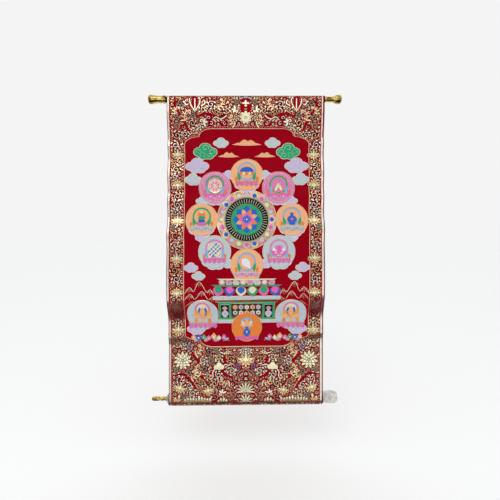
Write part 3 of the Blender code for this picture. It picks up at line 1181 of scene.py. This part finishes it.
def cloud(relief, centre, size, fill, layer, line):
    """A cloud of round lobes with curls drawn in it."""
    lobes = [
        (centre + complex(at.real, at.imag * CLOUD_LIFT) * size, radius * size)
        for at, radius in CLOUD_LOBES
    ]
    for place, radius in lobes:
        pad(relief, circle(place, radius + 1.5, CLOUD_SQUASH), line, layer)
    for step, (place, radius) in enumerate(lobes):
        pad(relief, circle(place, radius, CLOUD_SQUASH), fill, layer + 1 + step % 2)
    for (place, radius), (at, _) in zip(lobes, CLOUD_LOBES):
        start, hand = (200, -1) if at.real < 0 else (-20, 1)
        curl = spiral(place, radius * 0.62, start, 0.95, hand)
        ribbon(relief, curl, 1.5, line, layer + 4, (0.7, 0.7), on=layer + 1)


def flat_cloud(relief, centre, length, height, steps=24):
    """A long low cloud: a level foot, drawn-out ends and a few round heads."""
    upper = []
    for i in range(steps + 1):
        t = i / steps
        head = abs(sin(pi * t * 3.5 + 0.4)) * 0.45 + 0.55
        upper.append(centre + complex(length * (t - 0.5), height * sin(pi * t) ** 1.6 * head))
    lower = []
    for i in range(1, 8):
        lower.append(centre + complex(length * (0.5 - i / 8), -height * 0.16 * sin(pi * i / 8)))
    pad(relief, [*upper, *lower][::-1], "peach")
    ribbon(relief, upper, 1.6, "cream", 2, (0.6, 0.6))
    ribbon(relief, smooth([upper[0], *lower[::-1], upper[-1]]), 2.2, "cream", 2, (0.6, 0.6))


def jewel(relief, base, size, fill):
    """A pearl-shaped jewel with a ring of light in it."""
    drop = [spot(base + size * 0.42j, size * 0.42, 90 + a) for a in range(30, 331, 30)]
    outlined(relief, [*drop, base + size * 1.05j], fill, 3)
    pad(relief, circle(base + size * 0.4j, size * 0.15), "white", 5)


def side_lotus(relief, centre, size, fills, layer):
    """A lotus from the side in silk colours, with open outer petals."""
    for side in (-1, 1):
        for turn, length, which in ((84, 0.56, 0), (56, 0.6, 2), (28, 0.6, 1)):
            ring = petal(centre, 90 + side * turn, size * length, size * 0.24, -side * 26, 0.9)
            outlined(relief, ring, fills[which % len(fills)], layer)
    outlined(relief, petal(centre, 90, size * 0.58, size * 0.28), fills[0], layer + 1)


VASE_SIDE = (
    0.22, 0.26 + 0.08j, 0.46 + 0.3j, 0.5 + 0.5j, 0.36 + 0.68j, 0.16 + 0.78j, 0.15 + 0.92j, 0.3 + 1j,
)


def vase(relief, base, size, body, band, layer):
    right = [complex(place.real * size * 0.8, place.imag * size) for place in VASE_SIDE]
    left = [-place.conjugate() for place in right]
    ring = [base + place for place in (left[0], *right, *left[:0:-1])]
    outlined(relief, ring, body, layer, 1.3)
    for up, reach in ((0.3, 0.35), (0.66, 0.29)):
        line = [base + complex(x, rise) * size for x, rise in ((-reach, up), (0, up - 0.05), (reach, up))]
        stroke(relief, line, size * 0.07, band, layer + 2, (1, 1))
    pad(relief, circle(base + 0.47j * size, size * 0.1), band, layer + 2)


def wheel(relief, centre, radius, layer):
    on = layer - 4
    hoop(relief, centre, radius, radius * 0.17, "gold", layer, on)
    hoop(relief, centre, radius * 0.76, radius * 0.1, "gold", layer, on)
    spokes(relief, centre, radius * 0.2, radius * 1.16, 8, radius * 0.13, "gold", layer, on)
    pad(relief, circle(centre, radius * 0.24), "gold", layer + 1)
    pad(relief, circle(centre, radius * 0.11), "hot_pink", layer + 2)


# The eight emblems, each drawn by a centre, a size and a layer

def wheel_emblem(relief, centre, size, layer):
    wheel(relief, centre, size * 0.78, layer)


def lotus_emblem(relief, centre, size, layer):
    side_lotus(relief, centre - 0.5j * size, size * 1.9, ("hot_pink", "pink", "white"), layer)


def vase_emblem(relief, centre, size, layer):
    vase(relief, centre - 0.9j * size, size * 1.5, "cobalt", "orange", layer)


def fishes(relief, centre, size, layer):
    for side in (-1, 1):
        tail = centre + complex(side * 0.42, -0.62) * size
        fish = petal(tail, 90 + side * 24, size * 1.3, size * 0.38, side * 8)
        outlined(relief, fish, "gold", layer, 1, "deep_gold")
        for spread in (-34, 18):
            pad(relief, petal(tail, -90 + side * spread, size * 0.36, size * 0.2), "orange", layer + 1)
        pad(relief, circle(centre + complex(-side * 0.1, 0.4) * size, size * 0.07), "cobalt", layer + 3)


def parasol(relief, centre, size, layer):
    pole = evenly([centre - 1j * size, centre + 0.9j * size], 3)
    ribbon(relief, pole, size * 0.12, "gold", layer)
    turns = [pi * i / 10 for i in range(11)]
    dome = [centre + complex(0.86 * cos(a), 0.1 + 0.62 * sin(a)) * size for a in turns]
    outlined(relief, dome, "cobalt", layer + 1)
    for i in range(5):
        flap = petal(centre + complex(0.36 * (i - 2), 0.12) * size, -90, size * 0.44, size * 0.34, 0, 0.8)
        outlined(relief, flap, ("orange", "cream")[i % 2], layer + 1, 0.9)


def conch(relief, centre, size, layer):
    outlined(relief, petal(centre + (0.5 - 0.75j) * size, 118, size * 1.7, size, 24, 1.5), "white", layer)
    curl = spiral(centre + (-0.14 + 0.24j) * size, size * 0.44, -60, 1.3, 1, 0.2)
    ribbon(relief, curl, 1.4, "cobalt", layer + 2, (1, 0.6))


def knot(relief, centre, size, layer):
    for turn, finish, level in ((45, "cobalt", layer), (135, "gold", layer + 1)):
        for shift in (-0.36, 0, 0.36):
            middle = spot(centre, size * shift, turn + 90)
            ends = [spot(middle, size * 0.78, turn), spot(middle, -size * 0.78, turn)]
            ribbon(relief, evenly(ends, 3), size * 0.17, finish, level, on=layer - 4)
    for turn in (45, 135, 225, 315):
        corner = spot(centre, size * 0.8, turn)
        hoop(relief, corner, size * 0.22, size * 0.12, "gold", layer + 1, layer - 4)


def banner(relief, centre, size, layer):
    for row, fill in enumerate(("orange", "emerald", "cobalt", "hot_pink")):
        top = centre + 1j * size * (0.62 - 0.4 * row)
        corners = (-0.34, -0.46 - 0.38j, 0.46 - 0.38j, 0.34)
        outlined(relief, [top + corner * size for corner in corners], fill, layer, 1)
    disc(relief, centre + 0.76j * size, size * 0.2, "cream", layer + 1, 1)


Medallion = namedtuple("Medallion", "draw field halo seat")
MEDALLIONS = (
    Medallion(parasol, "peach", "sky", ("hot_pink", "pink")),
    Medallion(fishes, "pink", "emerald", ("lavender", "hot_pink")),
    Medallion(vase_emblem, "peach", "sky", ("sky", "mist")),
    Medallion(lotus_emblem, "mist", "pink", ("hot_pink", "pink")),
    Medallion(conch, "peach", "sky", ("hot_pink", "lavender")),
    Medallion(knot, "mist", "pink", ("pink", "hot_pink")),
    Medallion(banner, "peach", "emerald", ("sky", "mist")),
    Medallion(wheel_emblem, "pink", "emerald", ("lavender", "hot_pink")),
)
MANDALA_AT = MIDDLE - 352j
EMBLEM_RING = 132
EMBLEM_RADIUS = 47
RIM_FILLS = (("pink", "mist"), ("sage", "cream"), ("mist", "hot_pink"), ("cream", "cobalt"))

# The flower in the mandala: inner and outer radius, fills, layer, first direction, width's share
FLOWER_RINGS = (
    (12, 40, ("cobalt",), 10, 90, 1.25),
    (11, 33, ("peach", "orange"), 11, 112.5, 0.8),
    (8, 22, ("hot_pink", "pink"), 13, 90, 1.0),
)
CORNER_CLOUDS = (
    (-122 - 154j, 44, "emerald"), (-146 - 196j, 44, "lavender"), (-158 - 236j, 32, "mist"),
    (-76 - 128j, 28, "mist"), (-162 - 492j, 26, "lavender"), (-140 - 516j, 24, "mist"),
)
HILLS = (
    (-180 - 566j, -166 - 548j, -154 - 560j, -138 - 532j, -116 - 562j, -106 - 554j, -96 - 570j),
    (-180 - 584j, -164 - 568j, -150 - 582j, -130 - 560j, -112 - 584j, -100 - 576j),
    (-180 - 606j, -158 - 590j, -142 - 604j),
)

# The altar's table: half width, top, foot, fill, layer
TABLE = (
    (98, -574, -584, "mist", 1),
    (90, -584, -592, "rose", 2),
    (82, -592, -648, "emerald", 1),
    (46, -596, -644, "rose", 3),
    (92, -648, -658, "mist", 2),
)
OFFERINGS = ("peach", "cobalt", "emerald", "pink", "peach", "cream", "hot_pink")


def draw_medallion(relief, i, medallion):
    turn = 90 - 45 * i
    place = spot(MANDALA_AT, EMBLEM_RING, turn)
    silks = ("mist", "lavender")
    cloud(relief, spot(MANDALA_AT, EMBLEM_RING + 8, turn - 22.5), 24, silks[i % 2], 1, "white")
    cloud(relief, place - 30j, 46, silks[1 - i % 2], 2, "white")
    disc(relief, place, EMBLEM_RADIUS, medallion.field, 5)
    hoop(relief, place, EMBLEM_RADIUS * 0.9, 1.0, "cream", 7, 5)
    spokes(relief, place + 9j, 29, 36, 30, 0.9, "cream", 7, 5)
    disc(relief, place + 9j, 27, medallion.halo, 7, 1.7)
    disc(relief, place + 9j, 22, medallion.field, 9, 1.2, "cream")
    seat(relief, place - 22j, 66, medallion.seat, 7, 12)
    for side in (-1, 1):
        leaf = petal(place + side * 22 - 19j, 90 + side * 10, 26, 9, -side * 40)
        outlined(relief, leaf, ("emerald", "sky")[i % 2], 11, 1.0)
        outlined(relief, petal(place + side * 30 - 19j, 90, 13, 8), "orange", 12, 1.0)
    medallion.draw(relief, place + 5j, 24, 13)


def make_mandala(relief):
    centre = MANDALA_AT
    disc(relief, centre, 87, "rose", 0)
    for i in range(20):
        turn = 90 + 18 * i
        nested_petal(relief, spot(centre, 66, turn), turn, 20, 20, RIM_FILLS[i % 4], 1)
    disc(relief, centre, 67, "sage", 5)
    disc(relief, centre, 63, "ink", 6, 1.4)
    spokes(relief, centre, 48, 60, 48, 1.7, "cream", 8, 6)
    disc(relief, centre, 46, "emerald", 8)
    for inner, outer, fills, layer, start, share in FLOWER_RINGS:
        width = FULL_TURN * (inner + outer) / 2 / 8 * share
        for i in range(8):
            turn = start + 45 * i
            ring = petal(spot(centre, inner, turn), turn, outer - inner, width, 0, 0.9)
            outlined(relief, ring, fills[i % len(fills)], layer)
    disc(relief, centre, 12, "cobalt", 15, 1.5)
    wheel(relief, centre, 8.5, 16)
    for i, medallion in enumerate(MEDALLIONS):
        draw_medallion(relief, i, medallion)


def make_altar(relief):
    """A lotus seat on a table with a brocade front, and a medallion with a vase of lotus before it."""
    for half, top, foot, fill, layer in TABLE:
        corners = ((-half, foot), (half, foot), (half, top), (-half, top))
        outlined(relief, [complex(MIDDLE + x, up) for x, up in corners], fill, layer, 1.7)
    for side in (-1, 1):
        corners = ((52, -642), (76, -642), (76, -600), (52, -600))
        outlined(relief, [complex(MIDDLE + side * x, up) for x, up in corners], "ink", 3, 1.4)
        vase(relief, MIDDLE + side * 64 - 640j, 26, "mist", "hot_pink", 5)
        side_lotus(relief, MIDDLE + side * 64 - 614j, 16, ("pink", "white"), 8)
    for row in range(2):
        for i in range(-2, 3):
            place = complex(MIDDLE + i * 17, -608 - 18 * row)
            outlined(relief, scallops(place, 7.6, 6, 0.3), ("cream", "peach", "mist")[(i + row) % 3], 5)
            pad(relief, circle(place, 2.8), ("hot_pink", "cobalt")[(i + row) % 2], 7)
    seat(relief, MIDDLE - 544j, 196, ("hot_pink", "cobalt", "cream", "emerald"), 8, 31)
    seat(relief, MIDDLE - 526j, 166, ("pink", "mist", "cream"), 4, 19)
    disc(relief, MIDDLE - 670j, 44, "orange", 8)
    disc(relief, MIDDLE - 658j, 18, "sky", 10, 1.6)
    side_lotus(relief, MIDDLE - 668j, 40, ("peach", "marigold", "cream"), 13)
    vase(relief, MIDDLE - 698j, 28, "cobalt", "cream", 17)
    seat(relief, MIDDLE - 700j, 70, ("pink", "hot_pink"), 12, 10)


def make_window_sides(relief):
    """The left half's clouds, hills and offerings. The right half is its mirror image."""
    for place, size, fill in CORNER_CLOUDS:
        cloud(relief, place, size, fill, 1, "cream")
    flat_cloud(relief, -54 - 166j, 60, 13)
    for hill in HILLS:
        stroke(relief, hill, 1.7, "pale_gold", 1, (1, 1))
        for peak in hill[1::2]:
            for reach in (-2, -1, 0, 1, 2):
                line = [peak + reach * 3 - 4j, peak + complex(reach * 6 - 2, abs(reach) * 3 - 16)]
                ribbon(relief, evenly(line, 3), 1.3, "gold", 1, (1, 0.5))
    cloud(relief, -150 - 676j, 34, "lavender", 1, "white")
    disc(relief, -130 - 632j, 46, "mist", 5)
    disc(relief, -130 - 614j, 23, "pink", 7, 1.6)
    disc(relief, -130 - 614j, 17, "cream", 9, 1.2)
    side_lotus(relief, -130 - 640j, 58, ("peach", "cobalt", "marigold"), 11)
    seat(relief, -130 - 660j, 84, ("hot_pink", "pink"), 9, 14)
    for i, fill in enumerate(("marigold", "peach", "orange")):
        outlined(relief, petal(-150 + 20 * i - 658j, 90, 15, 11), fill, 14, 1.0)
    for i, fill in enumerate(OFFERINGS):
        x = -158 + i * 15
        jewel(relief, complex(x, -706 - 3 * (i % 2)), 15 + 4 * (i % 3 == 1), fill)
        outlined(relief, petal(x - 708j, 180 * (i % 2), 15, 7, 40), ("sky", "pink")[i % 2], 1)
    for i in range(3):
        wave = [place - 16 * i for place in (-52 - 712j, complex(-60, -704 + i), -70 - 712j)]
        stroke(relief, wave, 1.8, "sky", 1, (1, 1))


def make_picture():
    middle, side = Relief(), Relief()
    make_mandala(middle)
    make_altar(middle)
    flat_cloud(middle, MIDDLE - 132j, 84, 16)
    make_window_sides(side)
    side.points = [(x + MIDDLE, up, rise) for x, up, rise in side.points]
    other = side.mirrored(MIDDLE)
    return [middle.build("mandala"), side.build("window_left"), other.build("window_right")]


def strip(relief, low, high, finish, layer, foot=FOOT_END + 1):
    """A woven stripe from its foot up the face and over the rod."""
    stations = np.arange(foot, TOP_END - 1, 3.0)
    count = len(stations)
    points = []
    top = top_of(layer)
    for x, rise in ((low, SUNK), (low + STRIPE_EDGE, top), (high - STRIPE_EDGE, top), (high, SUNK)):
        points += [(x, float(up), rise) for up in stations]
    faces = []
    for i in range(count - 1):
        for lane in range(4):
            a, b = lane * count + i, (lane + 1) % 4 * count + i
            faces.append((a, b, b + 1, a + 1))
    ends = [lane * count for lane in range(4)]
    faces += [ends[::-1], [corner + count - 1 for corner in ends]]
    relief.add(points, faces, finish)


def make_edges(outline):
    """The selvedge stripes, painted shade along the left edge and on the cloth under the roller, the
    right hem, the stitches and the window's line.
    """
    edges = Relief()
    # A near-black strip along the left edge: painted shade where the cloth's edge turns back.
    strip(edges, 0.2 - CLOTH_WIDTH / 2, LEFT_STRIPE[0], "hem_thread", 4)
    strip(edges, *LEFT_STRIPE, "selvedge", 5)
    strip(edges, LEFT_STRIPE[1] + 0.2, LEFT_STRIPE[1] + 1.9, "pale_gold", 4)
    low, high = FOOT_SHADE_BAND
    left, right = LEFT_STRIPE[1] + 3, RIGHT_STRIPE[0]
    foot = [complex(left, low), complex(right, low), complex(right, high), complex(left, high)]
    # Dark red, then near-black below it, across the cloth under the roller: painted shade on the roll's
    # underside.
    pad(edges, foot, "dusk")
    pad(edges, [place - 1j * FOOT_SHADE_STEP for place in foot], "hem_thread")
    for up in (TOP_END - 4, FOOT_END + 4):
        for x in STITCHES:
            ribbon(edges, [complex(x, up) + step for step in (0, 1.6 + 0.2j, 3.2)], 0.9, "maroon", 4)
    strip(edges, *RIGHT_STRIPE, "selvedge", 6)
    strip(edges, RIGHT_STRIPE[1], CLOTH_WIDTH / 2 - 0.2, "maroon", 5)
    strip(edges, HIGH_HEM, RIGHT_STRIPE[1] + 0.4, "maroon", 7, HIGH_HEM_FOOT)
    for width, finish, layer in ((OUTLINE_WIDTH, "gold", 3), (OUTLINE_WIDTH * 0.36, "cream", 5)):
        ribbon(edges, evenly(outline, 3, True), width, finish, layer, closed=True)
    return edges.build("selvedge_and_window_line")


# The rods' ends, turned finer than the solids: how far along, and the radius there

TOP_LEFT_TURNS = (
    (0, 10.0), (2, 11.2), (6, 11.2), (10, 10.3), (19, 10.1), (31, 11.3), (42, 12.9), (47, 12.4),
    (50, 10.0), (51.2, 6.5),
)
TOP_RIGHT_TURNS = (
    (0, 8.4), (2, 9.0), (6, 7.9), (14, 7.5), (23, 7.9), (28, 10.2), (33, 12.6), (41, 12.9),
    (46, 10.8), (48.6, 6.5),
)
PEG_TURNS = (
    (0, 5.6), (3.5, 6.6), (7, 5.0), (9, 5.9), (15, 6.2), (19, 5.3), (23, 6.3), (34, 6.7),
    (40, 6.2), (43.5, 4.6), (45, 2.6),
)
COLLAR_TURNS = ((0, 20.0), (1.6, 19.6), (5.0, 14.0), (8.2, 9.4), (9.4, 7.4))
KNOB_TURNS = (
    (0, 16.6), (4, 16.4), (9, 17.3), (16, 18.4), (30, 18.4), (37, 17.4), (42, 14.2), (44.6, 9.4),
    (45.2, 6.5),
)
SIDES = 72
PROFILE_STEP = 0.5
GROOVE_DEPTH = 0.45
SHARPEST_TURN = radians(48)
GROOVE_HALF = 0.55
ROD_GAP = 0.3
TOP_LEFT_AT = -233.8 - ROD_GAP
TOP_RIGHT_AT = 231.8 + ROD_GAP
COLLAR_AT = -230.8 - ROD_GAP
PEG_AT = COLLAR_AT - COLLAR_TURNS[-1][0] - ROD_GAP
KNOB_AT = 232 + ROD_GAP
ROD_AXIS = ((0, 0, 0), 0)
ROLLER_AXIS = ((0, -ROLLER_FORWARD, -ROLLER_DROP), ROLLER_TILT)

# Node, slot, finish, axis, profile, where along the axis it starts, and where its grooves are cut
TURNED_ENDS = (
    ("top_finial_left", "brass", "brass", ROD_AXIS, TOP_LEFT_TURNS, TOP_LEFT_AT, (2.2, 5.8)),
    ("top_finial_right", "brass", "brass", ROD_AXIS, TOP_RIGHT_TURNS, TOP_RIGHT_AT, (3.6, 26.4)),
    ("bottom_peg_left", "brass", "brass", ROLLER_AXIS, PEG_TURNS, PEG_AT, (7, 19, 21, 37)),
    # The collar is the knob's grey, darkened as painted shade.
    ("bottom_collar_left", "grey_knob", "dim_grey", ROLLER_AXIS, COLLAR_TURNS, COLLAR_AT, ()),
    ("bottom_knob_right", "grey_knob", "grey", ROLLER_AXIS, KNOB_TURNS, KNOB_AT, (5,)),
)


def make_turned(node_name, finish, axis, turns, start, grooves):
    """A turned piece where its solid is. It points away from the middle of its rod."""
    end = turns[-1][0]
    along = np.minimum(np.arange(0, end + PROFILE_STEP / 2, PROFILE_STEP), end)
    radius = curve_at(turns, along)
    for groove in grooves:
        radius = radius - GROOVE_DEPTH * np.exp(-(((along - groove) / GROOVE_HALF) ** 2))
    turned = bmesh.new()
    rings = [[turned.verts.new((0, 0, 0))]]
    for place, reach in zip(along, radius):
        angles = [FULL_TURN * i / SIDES for i in range(SIDES)]
        rings.append([turned.verts.new((place, reach * cos(a), reach * sin(a))) for a in angles])
    rings.append([turned.verts.new((along[-1], 0, 0))])
    for a, b in zip(rings, rings[1:]):
        for i in range(SIDES):
            j = (i + 1) % SIDES
            corners = [a[i % len(a)], b[i % len(b)], b[j % len(b)], a[j % len(a)]]
            turned.faces.new(list(dict.fromkeys(corners)))
    bmesh.ops.recalc_face_normals(turned, faces=turned.faces[:])
    mesh = bpy.data.meshes.new(node_name + "_turned")
    turned.to_mesh(mesh)
    turned.free()
    mesh.materials.append(material(finish))
    mesh.shade_smooth()
    mesh.set_sharp_from_angle(angle=SHARPEST_TURN)
    piece = new_piece(node_name + "_turned", mesh)
    outward = 1 if start > 0 else -1
    centre, tilt = axis
    piece.scale = (outward * MM, MM, MM)
    piece.rotation_euler = (0, -tilt, 0)
    piece.location = (
        (centre[0] + start * cos(tilt)) * MM,
        centre[1] * MM,
        (centre[2] + start * sin(tilt)) * MM,
    )
    bpy.context.view_layer.update()
    mesh.transform(piece.matrix_world)
    piece.matrix_world.identity()
    if outward < 0:
        mesh.flip_normals()
    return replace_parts(piece, node_name)


# Camera, lights and floor

CAMERA_DISTANCE = 1.1
CAMERA_PITCH = radians(3)
CAMERA_AIM = Vector((0.0125, 0, -0.4424))
CAMERA_LENS = 26.41
FLOOR_SIZE = 60
FLOOR_BELOW = 0.16
FLOOR_COLOUR = (0.96, 0.97, 0.97, 1)
FLOOR_GLOW = 0.07
BACKDROP = 0.905
BACKDROP_RADIUS = 25
ROOM_BEHIND = 0.93
SOFTBOX_AT = Vector((-0.5, -2.2, 1.5))
SOFTBOX_AIM = Vector((0, 0, -0.4))
SOFTBOX_SIZE = (1.6, 1.2)
SOFTBOX_POWER = 12

# How bright the room in front of the scroll is, by height of direction from straight down to up
ROOM_LIGHT = (
    (0.0, 0.03), (0.22, 0.05), (0.30, 0.95), (0.34, 1.1), (0.39, 1.55), (0.45, 1.55), (0.488, 0.12),
    (0.545, 0.15), (0.58, 1.15), (0.62, 1.15), (0.66, 0.68), (0.72, 0.62), (0.78, 0.76), (1.0, 0.84),
)


def make_camera():
    data = bpy.data.cameras.new("front_camera")
    data.lens = CAMERA_LENS
    data.sensor_width = 36
    data.clip_start = 0.02
    camera = new_piece("front_camera", data)
    camera.location = CAMERA_AIM + CAMERA_DISTANCE * Vector((0, -cos(CAMERA_PITCH), sin(CAMERA_PITCH)))
    camera.rotation_euler = (pi / 2 - CAMERA_PITCH, 0, 0)
    bpy.context.scene.camera = camera


def make_lamp():
    data = bpy.data.lights.new("key_softbox", "AREA")
    data.shape = "RECTANGLE"
    data.size, data.size_y = SOFTBOX_SIZE
    data.energy = SOFTBOX_POWER
    lamp = new_piece("key_softbox", data)
    lamp.location = SOFTBOX_AT
    lamp.rotation_euler = (SOFTBOX_AIM - SOFTBOX_AT).to_track_quat("-Z", "Y").to_euler()


def paint_stage(name, paint_name, inputs):
    """Names and paints the mesh just added, and hides it from glossy rays."""
    piece = bpy.context.object
    piece.name = name
    piece.visible_glossy = False
    paint = bpy.data.materials.new(paint_name)
    paint.use_nodes = True
    feed(paint.node_tree.nodes["Principled BSDF"], inputs)
    piece.data.materials.append(paint)
    return piece


def light_room():
    world = bpy.data.worlds.new("studio")
    bpy.context.scene.world = world
    world.use_nodes = True
    tree = world.node_tree
    where = node(tree, "ShaderNodeTexCoord", {}).outputs["Generated"]
    parts = node(tree, "ShaderNodeSeparateXYZ", {"Vector": where}).outputs
    height = node(tree, "ShaderNodeMapRange", {"Value": parts["Z"], "From Min": -1.0, "From Max": 1.0})
    behind = node(tree, "ShaderNodeMapRange", {"Value": parts["Y"], "From Min": -0.1, "From Max": 0.1})
    room = ramp(tree, height.outputs["Result"], [(place, (level,) * 3) for place, level in ROOM_LIGHT])
    inputs = {"Factor": behind.outputs["Result"], 6: room, 7: (ROOM_BEHIND, ROOM_BEHIND, ROOM_BEHIND, 1)}
    mix = node(tree, "ShaderNodeMix", inputs, data_type="RGBA")
    feed(tree.nodes["Background"], {"Color": mix.outputs[2]})


def make_stage():
    """A pale floor and a pale backdrop around it, a room to light them, and a soft lamp in front."""
    bpy.ops.mesh.primitive_plane_add(size=FLOOR_SIZE, location=(0, 0, CAD_BOX[0][2] - FLOOR_BELOW))
    glow = {"Emission Color": (1, 1, 1, 1), "Emission Strength": FLOOR_GLOW}
    paint_stage("studio_floor", "floor_paint", {"Base Color": FLOOR_COLOUR, "Roughness": 0.95, **glow})
    bpy.ops.mesh.primitive_uv_sphere_add(segments=64, ring_count=32, radius=BACKDROP_RADIUS)
    glow = {"Emission Color": (BACKDROP, BACKDROP, BACKDROP, 1), "Emission Strength": 1}
    black = {"Base Color": (0, 0, 0, 1), "Specular IOR Level": 0}
    backdrop = paint_stage("studio_backdrop", "backdrop_paper", {**black, **glow})
    backdrop.visible_diffuse = False
    backdrop.visible_transmission = False
    backdrop.visible_shadow = False
    light_room()
    make_lamp()
    bpy.context.scene.view_settings.view_transform = "Standard"


def ride(pieces, slot):
    for piece in pieces:
        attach(piece, "root")


def dress():
    make_camera()
    outline = window_outline()
    cloth = make_cloth()
    patterns = [*make_border(outline), *make_picture(), make_edges(outline)]
    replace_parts(cloth, "scroll_cloth")
    ride([cloth, *patterns], "brocade")
    for node_name, slot, *facts in TURNED_ENDS:
        ride([make_turned(node_name, *facts)], slot)
    for name in ("top_rod", "bottom_roller"):
        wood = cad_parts[name]
        wood.data.materials.clear()
        wood.data.materials.append(material("wood"))
    make_stage()


dress()
